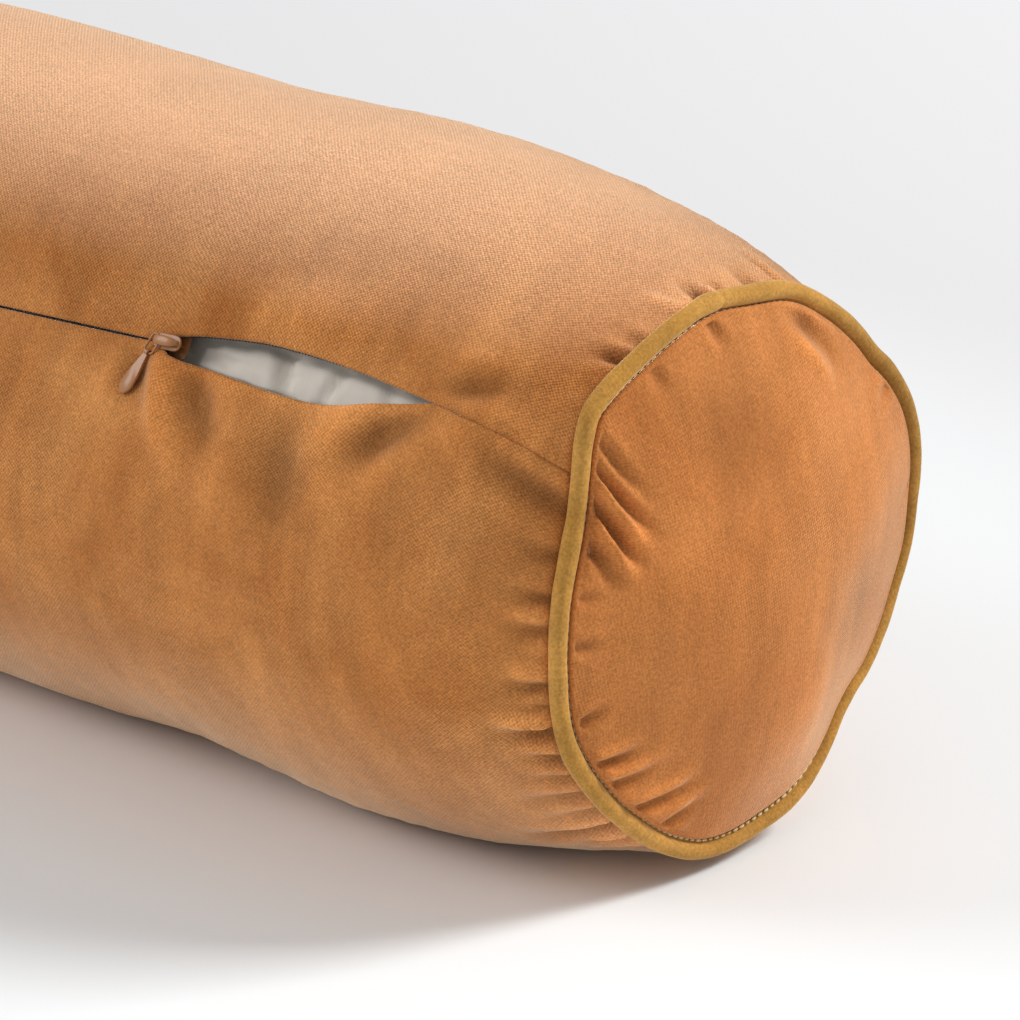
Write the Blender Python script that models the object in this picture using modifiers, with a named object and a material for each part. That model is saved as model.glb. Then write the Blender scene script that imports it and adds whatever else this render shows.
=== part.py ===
"""Bolster pillow: a velvet cover with piped ends and a concealed zip, over a fibre-filled inner pad.

The pillow lies along X on the floor plane Z = 0, with the origin under its middle. The zip seam runs
along the front (-Y) upper side. The cover, the pad and the zip are modelled as the pieces they are sewn
from, each a closed solid. Angles round the pillow ("turn") start at the front and rise towards +Z.
"""

import math

import bmesh
import bpy
from mathutils import Matrix, Vector

MM = 0.001

# ---- Driving dimensions -------------------------------------------------------------------------

SEAM_SPAN = 570 * MM  # between the two end seams
BODY_RADIUS = 102 * MM  # stuffed body, at its fullest
SEAM_RADIUS = 81.5 * MM  # fabric where it tucks into an end seam
SHOULDER = 120 * MM  # how far from an end seam the body takes to reach its full radius
SAG = 5 * MM  # how far the weight flattens the underside
END_DROP = 4 * MM  # the end seams hang this much lower than the body's axis
CROWN = 20 * MM  # how far an end panel bulges past its seam

VELVET = 1.2 * MM
CASING = 0.8 * MM
GAP = 0.3 * MM  # left between pieces that touch

PAD_INSET = 7 * MM  # from the velvet's outer face to the inner pad
PAD_TUCK = 5 * MM  # the pad's end seams lie this far inside the cover's
PAD_SEAM_RADIUS = 72.5 * MM
PAD_CROWN = 17 * MM

PIPING_RADIUS = 2.75 * MM
PIPING_WALL = 0.7 * MM
PIPING_CENTRE = SEAM_RADIUS + 1.5 * MM
SEAM_ALLOWANCE = 6 * MM
TUCK = 3 * MM  # how far the velvet rolls in under the piping
THREAD_RADIUS = 0.4 * MM

ZIP_TURN = math.radians(28.5)  # where the zip line passes at the middle of the pillow
ZIP_RADIUS = 96.5 * MM  # velvet's outer face on the zip line, a little sunk
ZIP_SLANT = 0.05  # rise of the line along the front per unit of X
ZIP_REACH = 238 * MM  # from the middle to either end of the zip
VALLEY = math.radians(25)  # half-width of the dip that the zip pulls in the body
SLIT_HALF = 0.9 * MM  # half the slit's width where the zip is closed
SEAM_HALF = 0.15 * MM  # half the gap where the two edges are sewn together
MOUTH_HALF = 6.8 * MM  # half the open mouth's width at its widest
TAPE_WIDTH = 12 * MM
TAPE = 0.5 * MM
TAPE_STEPS = 3  # strips across a tape, and across the velvet over it
STITCH_LINE = 6 * MM  # from the slit's edge to the stitches that hold a tape
COIL_RADIUS = 0.9 * MM
COIL_INSET = 3.3 * MM

SLIDER_X = 136 * MM  # where the slider stands, part way along
BACK_PLATE = (9 * MM, 8 * MM)  # length and width
FRONT_PLATE = (10.4 * MM, 4.4 * MM)
NECK = (6 * MM, 0.6 * MM)
ARCH_REACH = 4.7 * MM  # from the slider's middle to either end of its arch
ARCH_LEG = 1 * MM  # length and width of a leg
ARCH_HEIGHT = 3.2 * MM  # the arch's top, above the velvet
LEG_X = -4.0 * MM  # the arch leg that the link goes round, from the slider's middle
LINK_TURN = math.radians(71)  # the puller hangs this far round from the closed side
LINK_HEIGHT = 1.75 * MM  # the link lies this far above the velvet
LINK_WIRE = 0.35 * MM
LINK_REACH = 4.6 * MM  # from the leg to the tab's knuckle
LINK_BACK = 1.45 * MM  # from the leg to the link's far bar
LINK_HALF = 1.9 * MM  # half the link's width
LINK_BEND = 1.1 * MM
TAB_LENGTH = 14.5 * MM
TAB_HEAD, TAB_WIDEST = 0.9 * MM, 2.5 * MM  # half-widths
TAB_THICK = 1.0 * MM
TAB_ROUNDS = 0.72  # share of the tab's length where its tip starts to round off
KNUCKLE_RADIUS, EYE_RADIUS = 0.98 * MM, 0.62 * MM
KNUCKLE_WIDTH = 1.5 * MM
STOP_HALF = 1 * MM  # half a zip stop's length
STOP_NEAR, STOP_FAR = 0.6 * MM, 2.6 * MM  # a stop's sides, from the zip line
ROUND_STEPS = 32  # round a turned piece
PANEL_STEPS = 26  # round the body, between the tapes
PAD_STEPS = 24  # round the pad

AXIS_HEIGHT = BODY_RADIUS - SAG
SEAM_X = SEAM_SPAN / 2
SEAM_HEIGHT = AXIS_HEIGHT - END_DROP
ENDS = {"near": 1, "far": -1}  # the near end is at +X, by the open mouth of the zip
SIDES = {"upper": 1, "lower": -1}

COLOURS = {
    "velvet": ((0.50, 0.20, 0.065), 0.85, 0.0),
    "piping": ((0.36, 0.19, 0.045), 0.8, 0.0),
    "cotton": ((0.66, 0.64, 0.60), 0.9, 0.0),
    "cord": ((0.70, 0.66, 0.58), 0.9, 0.0),
    "fibre": ((0.82, 0.82, 0.80), 0.95, 0.0),
    "tape": ((0.30, 0.12, 0.04), 0.8, 0.0),
    "nylon": ((0.25, 0.10, 0.035), 0.45, 0.0),
    "enamel": ((0.32, 0.14, 0.06), 0.4, 0.0),
    "thread": ((0.60, 0.42, 0.26), 0.7, 0.0),
}


# ---- Form of the pillow -------------------------------------------------------------------------


def smooth(t):
    """Eases from 0 to 1 as t goes from 0 to 1."""
    t = min(max(t, 0.0), 1.0)
    return t * t * (3 - 2 * t)


def shoulder_share(x):
    """1 at an end seam, easing to 0 where the body is at its full radius."""
    return max(0.0, 1 - (SEAM_X - abs(x)) / SHOULDER) ** 2


def past_zip(x):
    """0 along the zip, which is straight, easing to 1 from its end to the end seam."""
    return max(0.0, (abs(x) - ZIP_REACH) / (SEAM_X - ZIP_REACH)) ** 1.6


def zip_turn(x):
    return ZIP_TURN + math.atan(x * ZIP_SLANT / ZIP_RADIUS)


def zip_line_radius(x):
    return math.hypot(ZIP_RADIUS, x * ZIP_SLANT)


def body_radius(x, turn, seam_radius=SEAM_RADIUS):
    """Outer radius of the cover at x and turn, with the dip along the zip line."""
    plain = BODY_RADIUS - (BODY_RADIUS - seam_radius) * shoulder_share(x)
    line = zip_line_radius(x)
    line -= (line - seam_radius) * past_zip(x)
    away = abs((turn - zip_turn(x) + math.pi) % (2 * math.pi) - math.pi)
    share = smooth(1 - away / VALLEY)
    return plain + (line - plain) * share


def body_point(x, turn, inset=0.0, seam_radius=SEAM_RADIUS):
    """A point this far inside the cover's outer face; the floor flattens the underside."""
    radius = body_radius(x, turn, seam_radius) - inset
    height = AXIS_HEIGHT - END_DROP * past_zip(x) + radius * math.sin(turn)
    return Vector((x, -radius * math.cos(turn), max(height, inset)))


def mouth_half(x):
    """Half the distance between the slit's two edges: sewn, closed by the zip, or gaping."""
    if abs(x) >= ZIP_REACH:
        return SEAM_HALF
    if x <= SLIDER_X:
        return SLIT_HALF
    share = (x - SLIDER_X) / (ZIP_REACH - SLIDER_X)
    return SLIT_HALF + (MOUTH_HALF - SLIT_HALF) * math.sin(math.pi * share) ** 0.8


def behind_lip(x, way, distance, inset):
    """A point this far behind the slit's upper (way 1) or lower (way -1) edge, this deep in the cover."""
    offset = way * (max(mouth_half(x), SLIT_HALF) + distance)
    return body_point(x, zip_turn(x) + offset / zip_line_radius(x), inset)


# ---- Making solids ------------------------------------------------------------------------------


def clear_scene():
    for old in list(bpy.data.objects):
        bpy.data.objects.remove(old, do_unlink=True)


def make_material(name):
    colour, roughness, metallic = COLOURS[name]
    material = bpy.data.materials.new(name)
    material.use_nodes = True
    shader = material.node_tree.nodes["Principled BSDF"]
    shader.inputs["Base Color"].default_value = (*colour, 1)
    shader.inputs["Roughness"].default_value = roughness
    shader.inputs["Metallic"].default_value = metallic
    return material


class Bench:
    """Holds the pillow's collections and materials, and links what is made."""

    def __init__(self):
        self.parts = bpy.data.collections.new("bolster_pillow")
        self.cutters = bpy.data.collections.new("cutters")
        for collection in (self.parts, self.cutters):
            bpy.context.scene.collection.children.link(collection)
        self.materials = {name: make_material(name) for name in COLOURS}

    def add(self, name, data, material, smooth_faces=True):
        obj = bpy.data.objects.new(name, data)
        self.parts.objects.link(obj)
        data.materials.append(self.materials[material])
        if smooth_faces and isinstance(data, bpy.types.Mesh):
            data.shade_smooth()
        return obj

    def add_cutter(self, name, mesh):
        obj = bpy.data.objects.new(name, mesh)
        self.cutters.objects.link(obj)
        obj.hide_render = True
        obj.display_type = "WIRE"
        return obj


def add_wall(obj, thickness):
    """Gives an open surface a wall, inwards from its outer face."""
    wall = obj.modifiers.new("wall", "SOLIDIFY")
    wall.thickness = thickness
    wall.offset = -1
    wall.use_even_offset = True
    return wall


def loft_mesh(name, rows, closed=False, capped=False):
    """A grid through rows of points. closed joins each row's ends, capped fills the first and last rows."""
    mesh = bpy.data.meshes.new(name)
    form = bmesh.new()
    lines = [[form.verts.new(point) for point in row] for row in rows]
    count = len(rows[0])
    for first, second in zip(lines, lines[1:]):
        for i in range(count if closed else count - 1):
            j = (i + 1) % count
            form.faces.new((first[i], first[j], second[j], second[i]))
    if capped:
        form.faces.new(list(reversed(lines[0])))
        form.faces.new(lines[-1])
    form.to_mesh(mesh)
    form.free()
    return mesh


def turned(bench, name, profile, end, material, loop=True, flip=False):
    """Turns a profile of (x, radius) points round an end seam's axis. x is outwards from the seam."""
    side = ENDS[end]
    mesh = bpy.data.meshes.new(name)
    points = [(side * x, 0, radius) for x, radius in profile]
    edges = [(i, i + 1) for i in range(len(points) - 1)]
    if loop:
        edges.append((len(points) - 1, 0))
    mesh.from_pydata(points, edges, [])
    obj = bench.add(name, mesh, material)
    obj.location = (side * SEAM_X, 0, SEAM_HEIGHT)
    screw = obj.modifiers.new("turn", "SCREW")
    screw.axis = "X"
    screw.angle = math.tau
    screw.steps = screw.render_steps = ROUND_STEPS
    screw.use_merge_vertices = True
    screw.merge_threshold = 0.01 * MM
    screw.use_smooth_shade = True
    screw.use_normal_flip = (side < 0) != flip
    return obj


def arc(centre_x, centre_radius, radius, start, stop, count):
    """Points on a circle in the (x, radius) plane, between two angles in degrees."""
    angles = [math.radians(start + (stop - start) * i / (count - 1)) for i in range(count)]
    return [(centre_x + radius * math.cos(a), centre_radius + radius * math.sin(a)) for a in angles]


def tube(bench, name, points, radius, material, cyclic=False):
    """A round tube along points."""
    curve = bpy.data.curves.new(name, "CURVE")
    curve.dimensions = "3D"
    curve.bevel_depth = radius
    curve.bevel_resolution = 2
    curve.use_fill_caps = not cyclic
    spline = curve.splines.new("POLY")
    spline.points.add(len(points) - 1)
    for knot, point in zip(spline.points, points):
        knot.co = (*point, 1)
    spline.use_cyclic_u = cyclic
    return bench.add(name, curve, material)


def box_mesh(name, low, high, frame):
    """A box between two corners, given in a local frame."""
    mesh = bpy.data.meshes.new(name)
    form = bmesh.new()
    bmesh.ops.create_cube(form, size=1)
    low, high = Vector(low), Vector(high)
    for vert in form.verts:
        vert.co = frame @ Vector([low[k] + (high[k] - low[k]) * (vert.co[k] + 0.5) for k in range(3)])
    form.to_mesh(mesh)
    form.free()
    return mesh


def join(obj, other, operation):
    """Adds a Boolean with another mesh."""
    boolean = obj.modifiers.new(operation.lower(), "BOOLEAN")
    boolean.operation = operation
    boolean.object = other
    return boolean


# ---- Cover --------------------------------------------------------------------------------------


def panel_stations():
    """X of each row of the body panel: close at the shoulders and at the open mouth."""
    from_seam = [3.6, 12, 26, 40, 46.5]
    shoulder = [SEAM_X - s * MM for s in from_seam]
    mouth_steps = 8
    mouth = [SLIDER_X + (ZIP_REACH - SLIDER_X) * (1 - i / mouth_steps) for i in range(mouth_steps + 1)]
    middle = [90, 0, -90, -150, -200, -237.9]
    return shoulder + mouth + [x * MM for x in middle] + [-x for x in reversed(shoulder)]


def panel_row(x):
    """Points round the body from the slit's upper edge to its lower one, closest along the zip."""
    edge = mouth_half(x) / zip_line_radius(x)
    steps = [TAPE_WIDTH * k / TAPE_STEPS / zip_line_radius(x) for k in range(TAPE_STEPS + 1)]
    sweep = math.tau - 2 * (edge + steps[-1])
    around = [steps[-1] + sweep * i / PANEL_STEPS for i in range(1, PANEL_STEPS)]
    turns = steps + around + [math.tau - 2 * edge - step for step in reversed(steps)]
    return [body_point(x, zip_turn(x) + edge + turn) for turn in turns]


def make_body_panel(bench):
    """One rectangle of velvet rolled into a tube; its ends turn in as seam allowances."""
    rows = [panel_row(x) for x in panel_stations()]
    face = PIPING_WALL + GAP  # the allowance lies against the piping's flange
    centre = Vector((0, 0, SEAM_HEIGHT))
    for side in (1, -1):
        edge = rows[0] if side > 0 else rows[-1]
        for radius in (SEAM_RADIUS - TUCK, SEAM_RADIUS - TUCK - SEAM_ALLOWANCE):
            row = []
            for point in edge:
                arm = Vector((0, point.y, point.z)) - centre
                spot = centre + arm.normalized() * radius
                row.append(Vector((side * (SEAM_X - face), spot.y, spot.z)))
            if side > 0:
                rows.insert(0, row)
            else:
                rows.append(row)
    obj = bench.add("body_panel", loft_mesh("body_panel", rows), "velvet")
    add_wall(obj, VELVET)


def crown_profile(radius, height, start_x, count):
    """Half outline of a stuffed disc: flat in the middle, steep at its rim, from the rim to the axis."""
    points = []
    for i in range(count):
        share = math.cos(0.5 * math.pi * i / (count - 1))
        bulge = max(0.0, 1 - share**2.4) ** (1 / 1.9)
        points.append((start_x + height * bulge, radius * share))
    points[-1] = (start_x + height, 0.0)
    return points


def make_end_panel(bench, end):
    """A velvet disc, bulged by the filling, with its rim turned in as a seam allowance."""
    face = PIPING_WALL + GAP
    rim = SEAM_RADIUS - TUCK
    profile = [(face, rim - SEAM_ALLOWANCE)] + crown_profile(rim, CROWN, face, 8)
    obj = turned(bench, f"end_panel_{end}", profile, end, "velvet", loop=False, flip=True)
    add_wall(obj, VELVET)


def make_piping(bench, end):
    """A bias strip folded round a filler cord. Its two edges lie together as the flange in the seam."""
    foot = SEAM_RADIUS - TUCK - SEAM_ALLOWANCE
    outer_x, inner_x = PIPING_WALL, 0.2 * MM
    inner = PIPING_RADIUS - PIPING_WALL
    outside = arc(0, PIPING_CENTRE, PIPING_RADIUS, -75, 255, 8)
    inside = arc(0, PIPING_CENTRE, inner, 264, -84, 7)
    profile = [(outer_x, foot)] + outside + [(-outer_x, foot), (-inner_x, foot)] + inside + [(inner_x, foot)]
    turned(bench, f"piping_sleeve_{end}", profile, end, "piping")
    cord = arc(0, PIPING_CENTRE, inner - 2 * GAP, 0, 300, 6)
    turned(bench, f"piping_cord_{end}", cord, end, "cord")


def make_end_thread(bench, end):
    """The line of stitches that holds an end seam, on the inner face of the body's allowance."""
    face = -(PIPING_WALL + GAP + VELVET + GAP + THREAD_RADIUS)
    stitches = arc(face, SEAM_RADIUS - 5 * MM, THREAD_RADIUS, 0, 288, 5)
    turned(bench, f"end_seam_thread_{end}", stitches, end, "thread")


def make_long_seam_thread(bench, end):
    """The stitches that close the long seam between a zip end and the end seam."""
    start, stop = ZIP_REACH + 6 * MM, SEAM_X - 6 * MM
    depth = VELVET + GAP + 2 * THREAD_RADIUS
    steps = 4
    points = [body_point(x, zip_turn(x), depth) for x in
              (ENDS[end] * (start + (stop - start) * i / steps) for i in range(steps + 1))]
    tube(bench, f"long_seam_thread_{end}", points, THREAD_RADIUS, "thread")


# ---- Inner pad ----------------------------------------------------------------------------------


def pad_rows(inset, reach):
    """Rings of points along the pad: the cover's own form, a little shorter and this far inside it."""
    from_end = [0, 14, 36, 70, 120]
    half = [SEAM_X - s * MM for s in from_end]
    rim = PAD_SEAM_RADIUS + PAD_INSET
    rows = []
    for x in half + [0.0] + [-x for x in reversed(half)]:
        turns = [zip_turn(x) + math.tau * i / PAD_STEPS for i in range(PAD_STEPS)]
        row = [body_point(x, turn, inset, rim) for turn in turns]
        rows.append([Vector((x * reach / SEAM_X, point.y, point.z)) for point in row])
    return rows


def make_pad(bench):
    """A cotton tube, closed at each end by a cotton disc, round a core of hollow fibre."""
    reach = SEAM_X - PAD_TUCK
    tube_mesh = loft_mesh("pad_casing_tube", pad_rows(PAD_INSET, reach), closed=True)
    add_wall(bench.add("pad_casing_tube", tube_mesh, "cotton"), CASING)
    rim_x = CASING + GAP - PAD_TUCK
    for end in ENDS:
        profile = crown_profile(PAD_SEAM_RADIUS, PAD_CROWN, rim_x, 6)
        obj = turned(bench, f"pad_casing_end_{end}", profile, end, "cotton", loop=False, flip=True)
        add_wall(obj, CASING)
    core_inset = PAD_INSET + CASING + 4 * GAP
    rows = pad_rows(core_inset, reach - 2 * GAP)
    for side in (1, -1):
        rim = rows[0] if side > 0 else rows[-1]
        middle = Vector((rim[0].x, 0, SEAM_HEIGHT))
        for share, bulge in ((0.86, 0.5), (0.6, 0.8), (0.25, 0.93)):
            out = Vector((side * (PAD_CROWN - 3 * MM) * bulge, 0, 0))
            row = [middle + (point - middle) * share + out for point in rim]
            if side > 0:
                rows.insert(0, row)
            else:
                rows.append(row)
    core = loft_mesh("fibre_filling", rows, closed=True, capped=True)
    bench.add("fibre_filling", core, "fibre")


# ---- Zip ----------------------------------------------------------------------------------------


def zip_stations(reach):
    """X of points along the zip, on the body panel's own rows."""
    inner = [x for x in reversed(panel_stations()) if abs(x) < reach - 2 * MM]
    return [-reach] + inner + [reach]


def make_zip_side(bench, side):
    """One half of the zip: a woven tape with a nylon coil along its edge, and its top stop."""
    way = SIDES[side]
    tape_reach = ZIP_REACH + 5 * MM
    depth = VELVET + GAP
    widths = [TAPE_WIDTH * k / TAPE_STEPS for k in range(TAPE_STEPS + 1)]
    rows = [[behind_lip(x, way, GAP + width, depth) for width in widths] for x in zip_stations(tape_reach)]
    if way > 0:
        rows.reverse()
    add_wall(bench.add(f"zip_tape_{side}", loft_mesh(f"zip_tape_{side}", rows), "tape"), TAPE)

    coil = [behind_lip(x, way, COIL_RADIUS, COIL_INSET) for x in zip_stations(ZIP_REACH - 1 * MM)]
    tube(bench, f"zip_coil_{side}", coil, COIL_RADIUS, "nylon")
    stitch_inset = depth + TAPE + GAP + THREAD_RADIUS
    line = [behind_lip(x, way, STITCH_LINE, stitch_inset) for x in zip_stations(tape_reach - 3 * MM)]
    tube(bench, f"zip_stitches_{side}", line, THREAD_RADIUS, "thread")

    frame = zip_frame(ZIP_REACH + STOP_NEAR, zip_turn(ZIP_REACH))
    near, far = sorted((way * STOP_NEAR, way * STOP_FAR))
    low = (-STOP_HALF, near, -COIL_INSET - COIL_RADIUS)
    high = (STOP_HALF, far, -COIL_INSET + COIL_RADIUS)
    mesh = box_mesh(f"zip_top_stop_{side}", low, high, frame)
    bench.add(f"zip_top_stop_{side}", mesh, "enamel", smooth_faces=False)


def zip_frame(x, facing):
    """Local axes on the zip line at x: along it, up round the body, and out towards the turn it faces."""
    along = Vector((1, ZIP_SLANT * math.sin(ZIP_TURN), ZIP_SLANT * math.cos(ZIP_TURN))).normalized()
    out = Vector((0, -math.cos(facing), math.sin(facing)))
    out = (out - along * out.dot(along)).normalized()
    radius, turn = zip_line_radius(x), zip_turn(x)
    frame = Matrix((along, out.cross(along), out)).transposed().to_4x4()
    frame.translation = Vector((x, -radius * math.cos(turn), AXIS_HEIGHT + radius * math.sin(turn)))
    return frame


def make_bottom_stop(bench):
    """The metal bar that joins the two coils at the far end of the zip."""
    frame = zip_frame(-ZIP_REACH - STOP_NEAR, zip_turn(-ZIP_REACH))
    low = (-STOP_HALF, -STOP_FAR, -COIL_INSET - COIL_RADIUS)
    high = (STOP_HALF, STOP_FAR, -COIL_INSET + COIL_RADIUS - 0.1 * MM)
    mesh = box_mesh("zip_bottom_stop", low, high, frame)
    bench.add("zip_bottom_stop", mesh, "enamel", smooth_faces=False)


def rounded_slab(name, length, width, low, high, radius, frame, segments=3):
    """A slab with its four upright edges rounded, centred on the frame's origin."""
    form = bmesh.new()
    outline = []
    for corner in range(4):
        sign_x = (1, -1, -1, 1)[corner]
        sign_y = (1, 1, -1, -1)[corner]
        centre = (sign_x * (length / 2 - radius), sign_y * (width / 2 - radius))
        for i in range(segments + 1):
            angle = math.radians(90 * corner + 90 * i / segments)
            outline.append((centre[0] + radius * math.cos(angle), centre[1] + radius * math.sin(angle)))
    rings = [[form.verts.new(frame @ Vector((x, y, z))) for x, y in outline] for z in (low, high)]
    form.faces.new(list(reversed(rings[0])))
    form.faces.new(rings[1])
    for i in range(len(outline)):
        j = (i + 1) % len(outline)
        form.faces.new((rings[0][i], rings[0][j], rings[1][j], rings[1][i]))
    mesh = bpy.data.meshes.new(name)
    form.to_mesh(mesh)
    form.free()
    return mesh


def centred_box(name, middle_x, length, width, low, high, frame):
    """A box in the slider's axes, centred on its width and on a point along the zip."""
    half = length / 2
    return box_mesh(name, (middle_x - half, -width / 2, low), (middle_x + half, width / 2, high), frame)


def make_slider(bench):
    """Back plate behind the coils, a neck through the slit, and a front plate with an arch over it."""
    frame = zip_frame(SLIDER_X, ZIP_TURN)
    back = rounded_slab("zip_slider", *BACK_PLATE, -6.0 * MM, -4.9 * MM, 1.6 * MM, frame)
    slider = bench.add("zip_slider", back, "enamel", smooth_faces=False)
    foot, strap = 0.9 * MM, ARCH_HEIGHT - 0.8 * MM  # heights of the legs' feet and of the strap's underside
    pieces = [
        centred_box("neck", 0, *NECK, -5.5 * MM, 0.8 * MM, frame),
        rounded_slab("front", *FRONT_PLATE, 0.5 * MM, 1.1 * MM, 1.8 * MM, frame),
        centred_box("strap", 0, 2 * ARCH_REACH, 1.4 * MM, strap, ARCH_HEIGHT, frame),
        centred_box("leg_by_link", LEG_X, ARCH_LEG, ARCH_LEG, foot, strap + 0.4 * MM, frame),
        centred_box("other_leg", -LEG_X - 0.1 * MM, 1.2 * ARCH_LEG, ARCH_LEG, foot, strap + 0.4 * MM, frame),
    ]
    for piece in pieces:
        join(slider, bench.add_cutter(f"slider_{piece.name}", piece), "UNION")


def puller_frame():
    """Local axes of the puller: X towards its tip, Z out of the cover, origin at the arch's leg."""
    frame = zip_frame(SLIDER_X, zip_turn(SLIDER_X))
    hang = Matrix.Rotation(math.pi + LINK_TURN, 4, "Z")
    return frame @ Matrix.Translation((LEG_X, 0, LINK_HEIGHT)) @ hang


def make_link(bench):
    """A wire loop round the arch's leg, with a straight end bar for the tab's knuckle."""
    frame = puller_frame()
    front, back = LINK_REACH - LINK_BEND, LINK_BEND - LINK_BACK  # middles of the bends
    outline = []
    for centre_x, sign, start in ((front, 1, 0), (back, 1, 90), (back, -1, 180), (front, -1, 270)):
        centre = Vector((centre_x, sign * (LINK_HALF - LINK_BEND), 0))
        for i in range(4):
            angle = math.radians(start + 30 * i)
            outline.append(frame @ (centre + LINK_BEND * Vector((math.cos(angle), math.sin(angle), 0))))
    tube(bench, "pull_link", outline, LINK_WIRE, "enamel", cyclic=True)


def cylinder_mesh(name, radius, length, frame, segments=14):
    """A cylinder along the frame's Y axis, centred on its origin."""
    form = bmesh.new()
    bmesh.ops.create_cone(form, cap_ends=True, segments=segments, radius1=radius, radius2=radius, depth=length)
    bmesh.ops.transform(form, matrix=frame @ Matrix.Rotation(math.pi / 2, 4, "X"), verts=form.verts)
    mesh = bpy.data.meshes.new(name)
    form.to_mesh(mesh)
    form.free()
    return mesh


def tab_outline(steps=12):
    """The teardrop's outline in the puller's axes, narrow at its head and full towards its rounded tip."""
    start = LINK_WIRE + 0.25 * MM
    upper = []
    for i in range(steps + 1):
        share = i / steps
        swell = TAB_HEAD + (TAB_WIDEST - TAB_HEAD) * math.sin(math.pi * min(share / TAB_ROUNDS, 1) / 2) ** 1.5
        tip = math.sqrt(1 - max(0.0, (share - TAB_ROUNDS) / (1 - TAB_ROUNDS)) ** 2)
        upper.append((start + (TAB_LENGTH - start) * share, swell * tip))
    return upper + [(x, -y) for x, y in reversed(upper[:-1])]


def make_tab(bench):
    """A flat teardrop blade with a knuckle that turns on the link's end bar."""
    frame = puller_frame() @ Matrix.Translation((LINK_REACH, 0, 0))
    rows = [[frame @ Vector((x, y, z)) for x, y in tab_outline()] for z in (TAB_THICK / 2, -TAB_THICK / 2)]
    blade = loft_mesh("pull_tab", rows, closed=True, capped=True)
    tab = bench.add("pull_tab", blade, "enamel", smooth_faces=False)
    knuckle = cylinder_mesh("tab_knuckle", KNUCKLE_RADIUS, KNUCKLE_WIDTH, frame)
    eye = cylinder_mesh("tab_eye", EYE_RADIUS, 2 * TAB_WIDEST, frame)
    join(tab, bench.add_cutter("tab_knuckle", knuckle), "UNION")
    join(tab, bench.add_cutter("tab_eye", eye), "DIFFERENCE")


# ---- Assembly -----------------------------------------------------------------------------------


def main():
    clear_scene()
    bench = Bench()
    make_body_panel(bench)
    for end in ENDS:
        make_end_panel(bench, end)
        make_piping(bench, end)
        make_end_thread(bench, end)
        make_long_seam_thread(bench, end)
    make_pad(bench)
    for side in SIDES:
        make_zip_side(bench, side)
    make_bottom_stop(bench)
    make_slider(bench)
    make_link(bench)
    make_tab(bench)


main()
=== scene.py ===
"""Looks of the bolster pillow: velvet cover, piping, zip and inner pad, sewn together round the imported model."""

import logging
import math
from dataclasses import dataclass
from enum import Enum

import bmesh
import bpy
import numpy as np
from mathutils import Matrix, Vector


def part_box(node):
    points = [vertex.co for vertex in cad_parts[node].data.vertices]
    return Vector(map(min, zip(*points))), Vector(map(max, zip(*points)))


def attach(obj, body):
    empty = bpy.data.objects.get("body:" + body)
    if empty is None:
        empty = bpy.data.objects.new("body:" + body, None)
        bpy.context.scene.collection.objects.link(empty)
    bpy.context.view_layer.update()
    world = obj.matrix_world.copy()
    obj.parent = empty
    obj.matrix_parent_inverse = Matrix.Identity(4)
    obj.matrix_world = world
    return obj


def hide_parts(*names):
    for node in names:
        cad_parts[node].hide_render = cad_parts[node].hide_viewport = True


log = logging.getLogger("bolster")
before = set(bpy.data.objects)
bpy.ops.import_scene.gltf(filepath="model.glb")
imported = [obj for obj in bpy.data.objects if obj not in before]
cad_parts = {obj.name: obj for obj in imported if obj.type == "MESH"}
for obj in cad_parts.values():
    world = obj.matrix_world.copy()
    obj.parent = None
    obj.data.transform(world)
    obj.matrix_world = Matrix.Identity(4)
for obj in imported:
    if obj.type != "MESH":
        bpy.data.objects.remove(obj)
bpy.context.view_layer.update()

MM = 0.001
TAU = 2 * math.pi

# ---- Sizes shared by the pieces ------------------------------------------------------------------

SEAM_X = (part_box("piping_sleeve_near")[0].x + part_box("piping_sleeve_near")[1].x) / 2
SEAM_HEIGHT = (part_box("piping_sleeve_near")[0].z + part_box("piping_sleeve_near")[1].z) / 2
SEAM_DROP = 4 * MM  # the end seams hang a little below the body's axis
AXIS_HEIGHT = SEAM_HEIGHT + SEAM_DROP
SEAM_RADIUS = 83 * MM  # of the end seams, on average
ZIP_TURN = math.radians(28.5)  # where the zip line passes at the middle of the pillow
ZIP_RADIUS = 96.5 * MM
ZIP_SLANT = 0.05  # how much it climbs for each step along the pillow
ZIP_REACH = 238 * MM  # from the middle to either end of the zip
SLIT_FROM, SLIT_TO = 126, 239  # millimetres along the zip, where its edges begin to part and meet again
SLIDER_X = 136 * MM
PIPING_RADIUS = 2.75 * MM
PILE = 0.9 * MM  # thickness of the velvet


class End(Enum):
    """The pillow's two ends; the value is the direction of the end along X."""

    NEAR = 1
    FAR = -1

    @property
    def label(self) -> str:
        """The end's name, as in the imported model's nodes."""
        return self.name.lower()


class Side(Enum):
    """The two halves of the zip; the value is the way round the body from the zip line."""

    UPPER = 1
    LOWER = -1

    @property
    def label(self) -> str:
        """The side's name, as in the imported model's nodes."""
        return self.name.lower()


# ---- Helpers for numbers and meshes --------------------------------------------------------------


def ease(t: np.ndarray) -> np.ndarray:
    """Eases from 0 to 1 as t goes from 0 to 1."""
    t = np.clip(t, 0.0, 1.0)
    return t * t * (3 - 2 * t)


def bell(distance: np.ndarray, width: float) -> np.ndarray:
    """A smooth hump, 1 at no distance, that has mostly gone by one width."""
    return np.exp(-((distance / width) ** 2))


def turn_gap(a: np.ndarray, b: np.ndarray) -> np.ndarray:
    """Signed difference of two turns, between minus and plus half a circle."""
    return (a - b + math.pi) % TAU - math.pi


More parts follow.
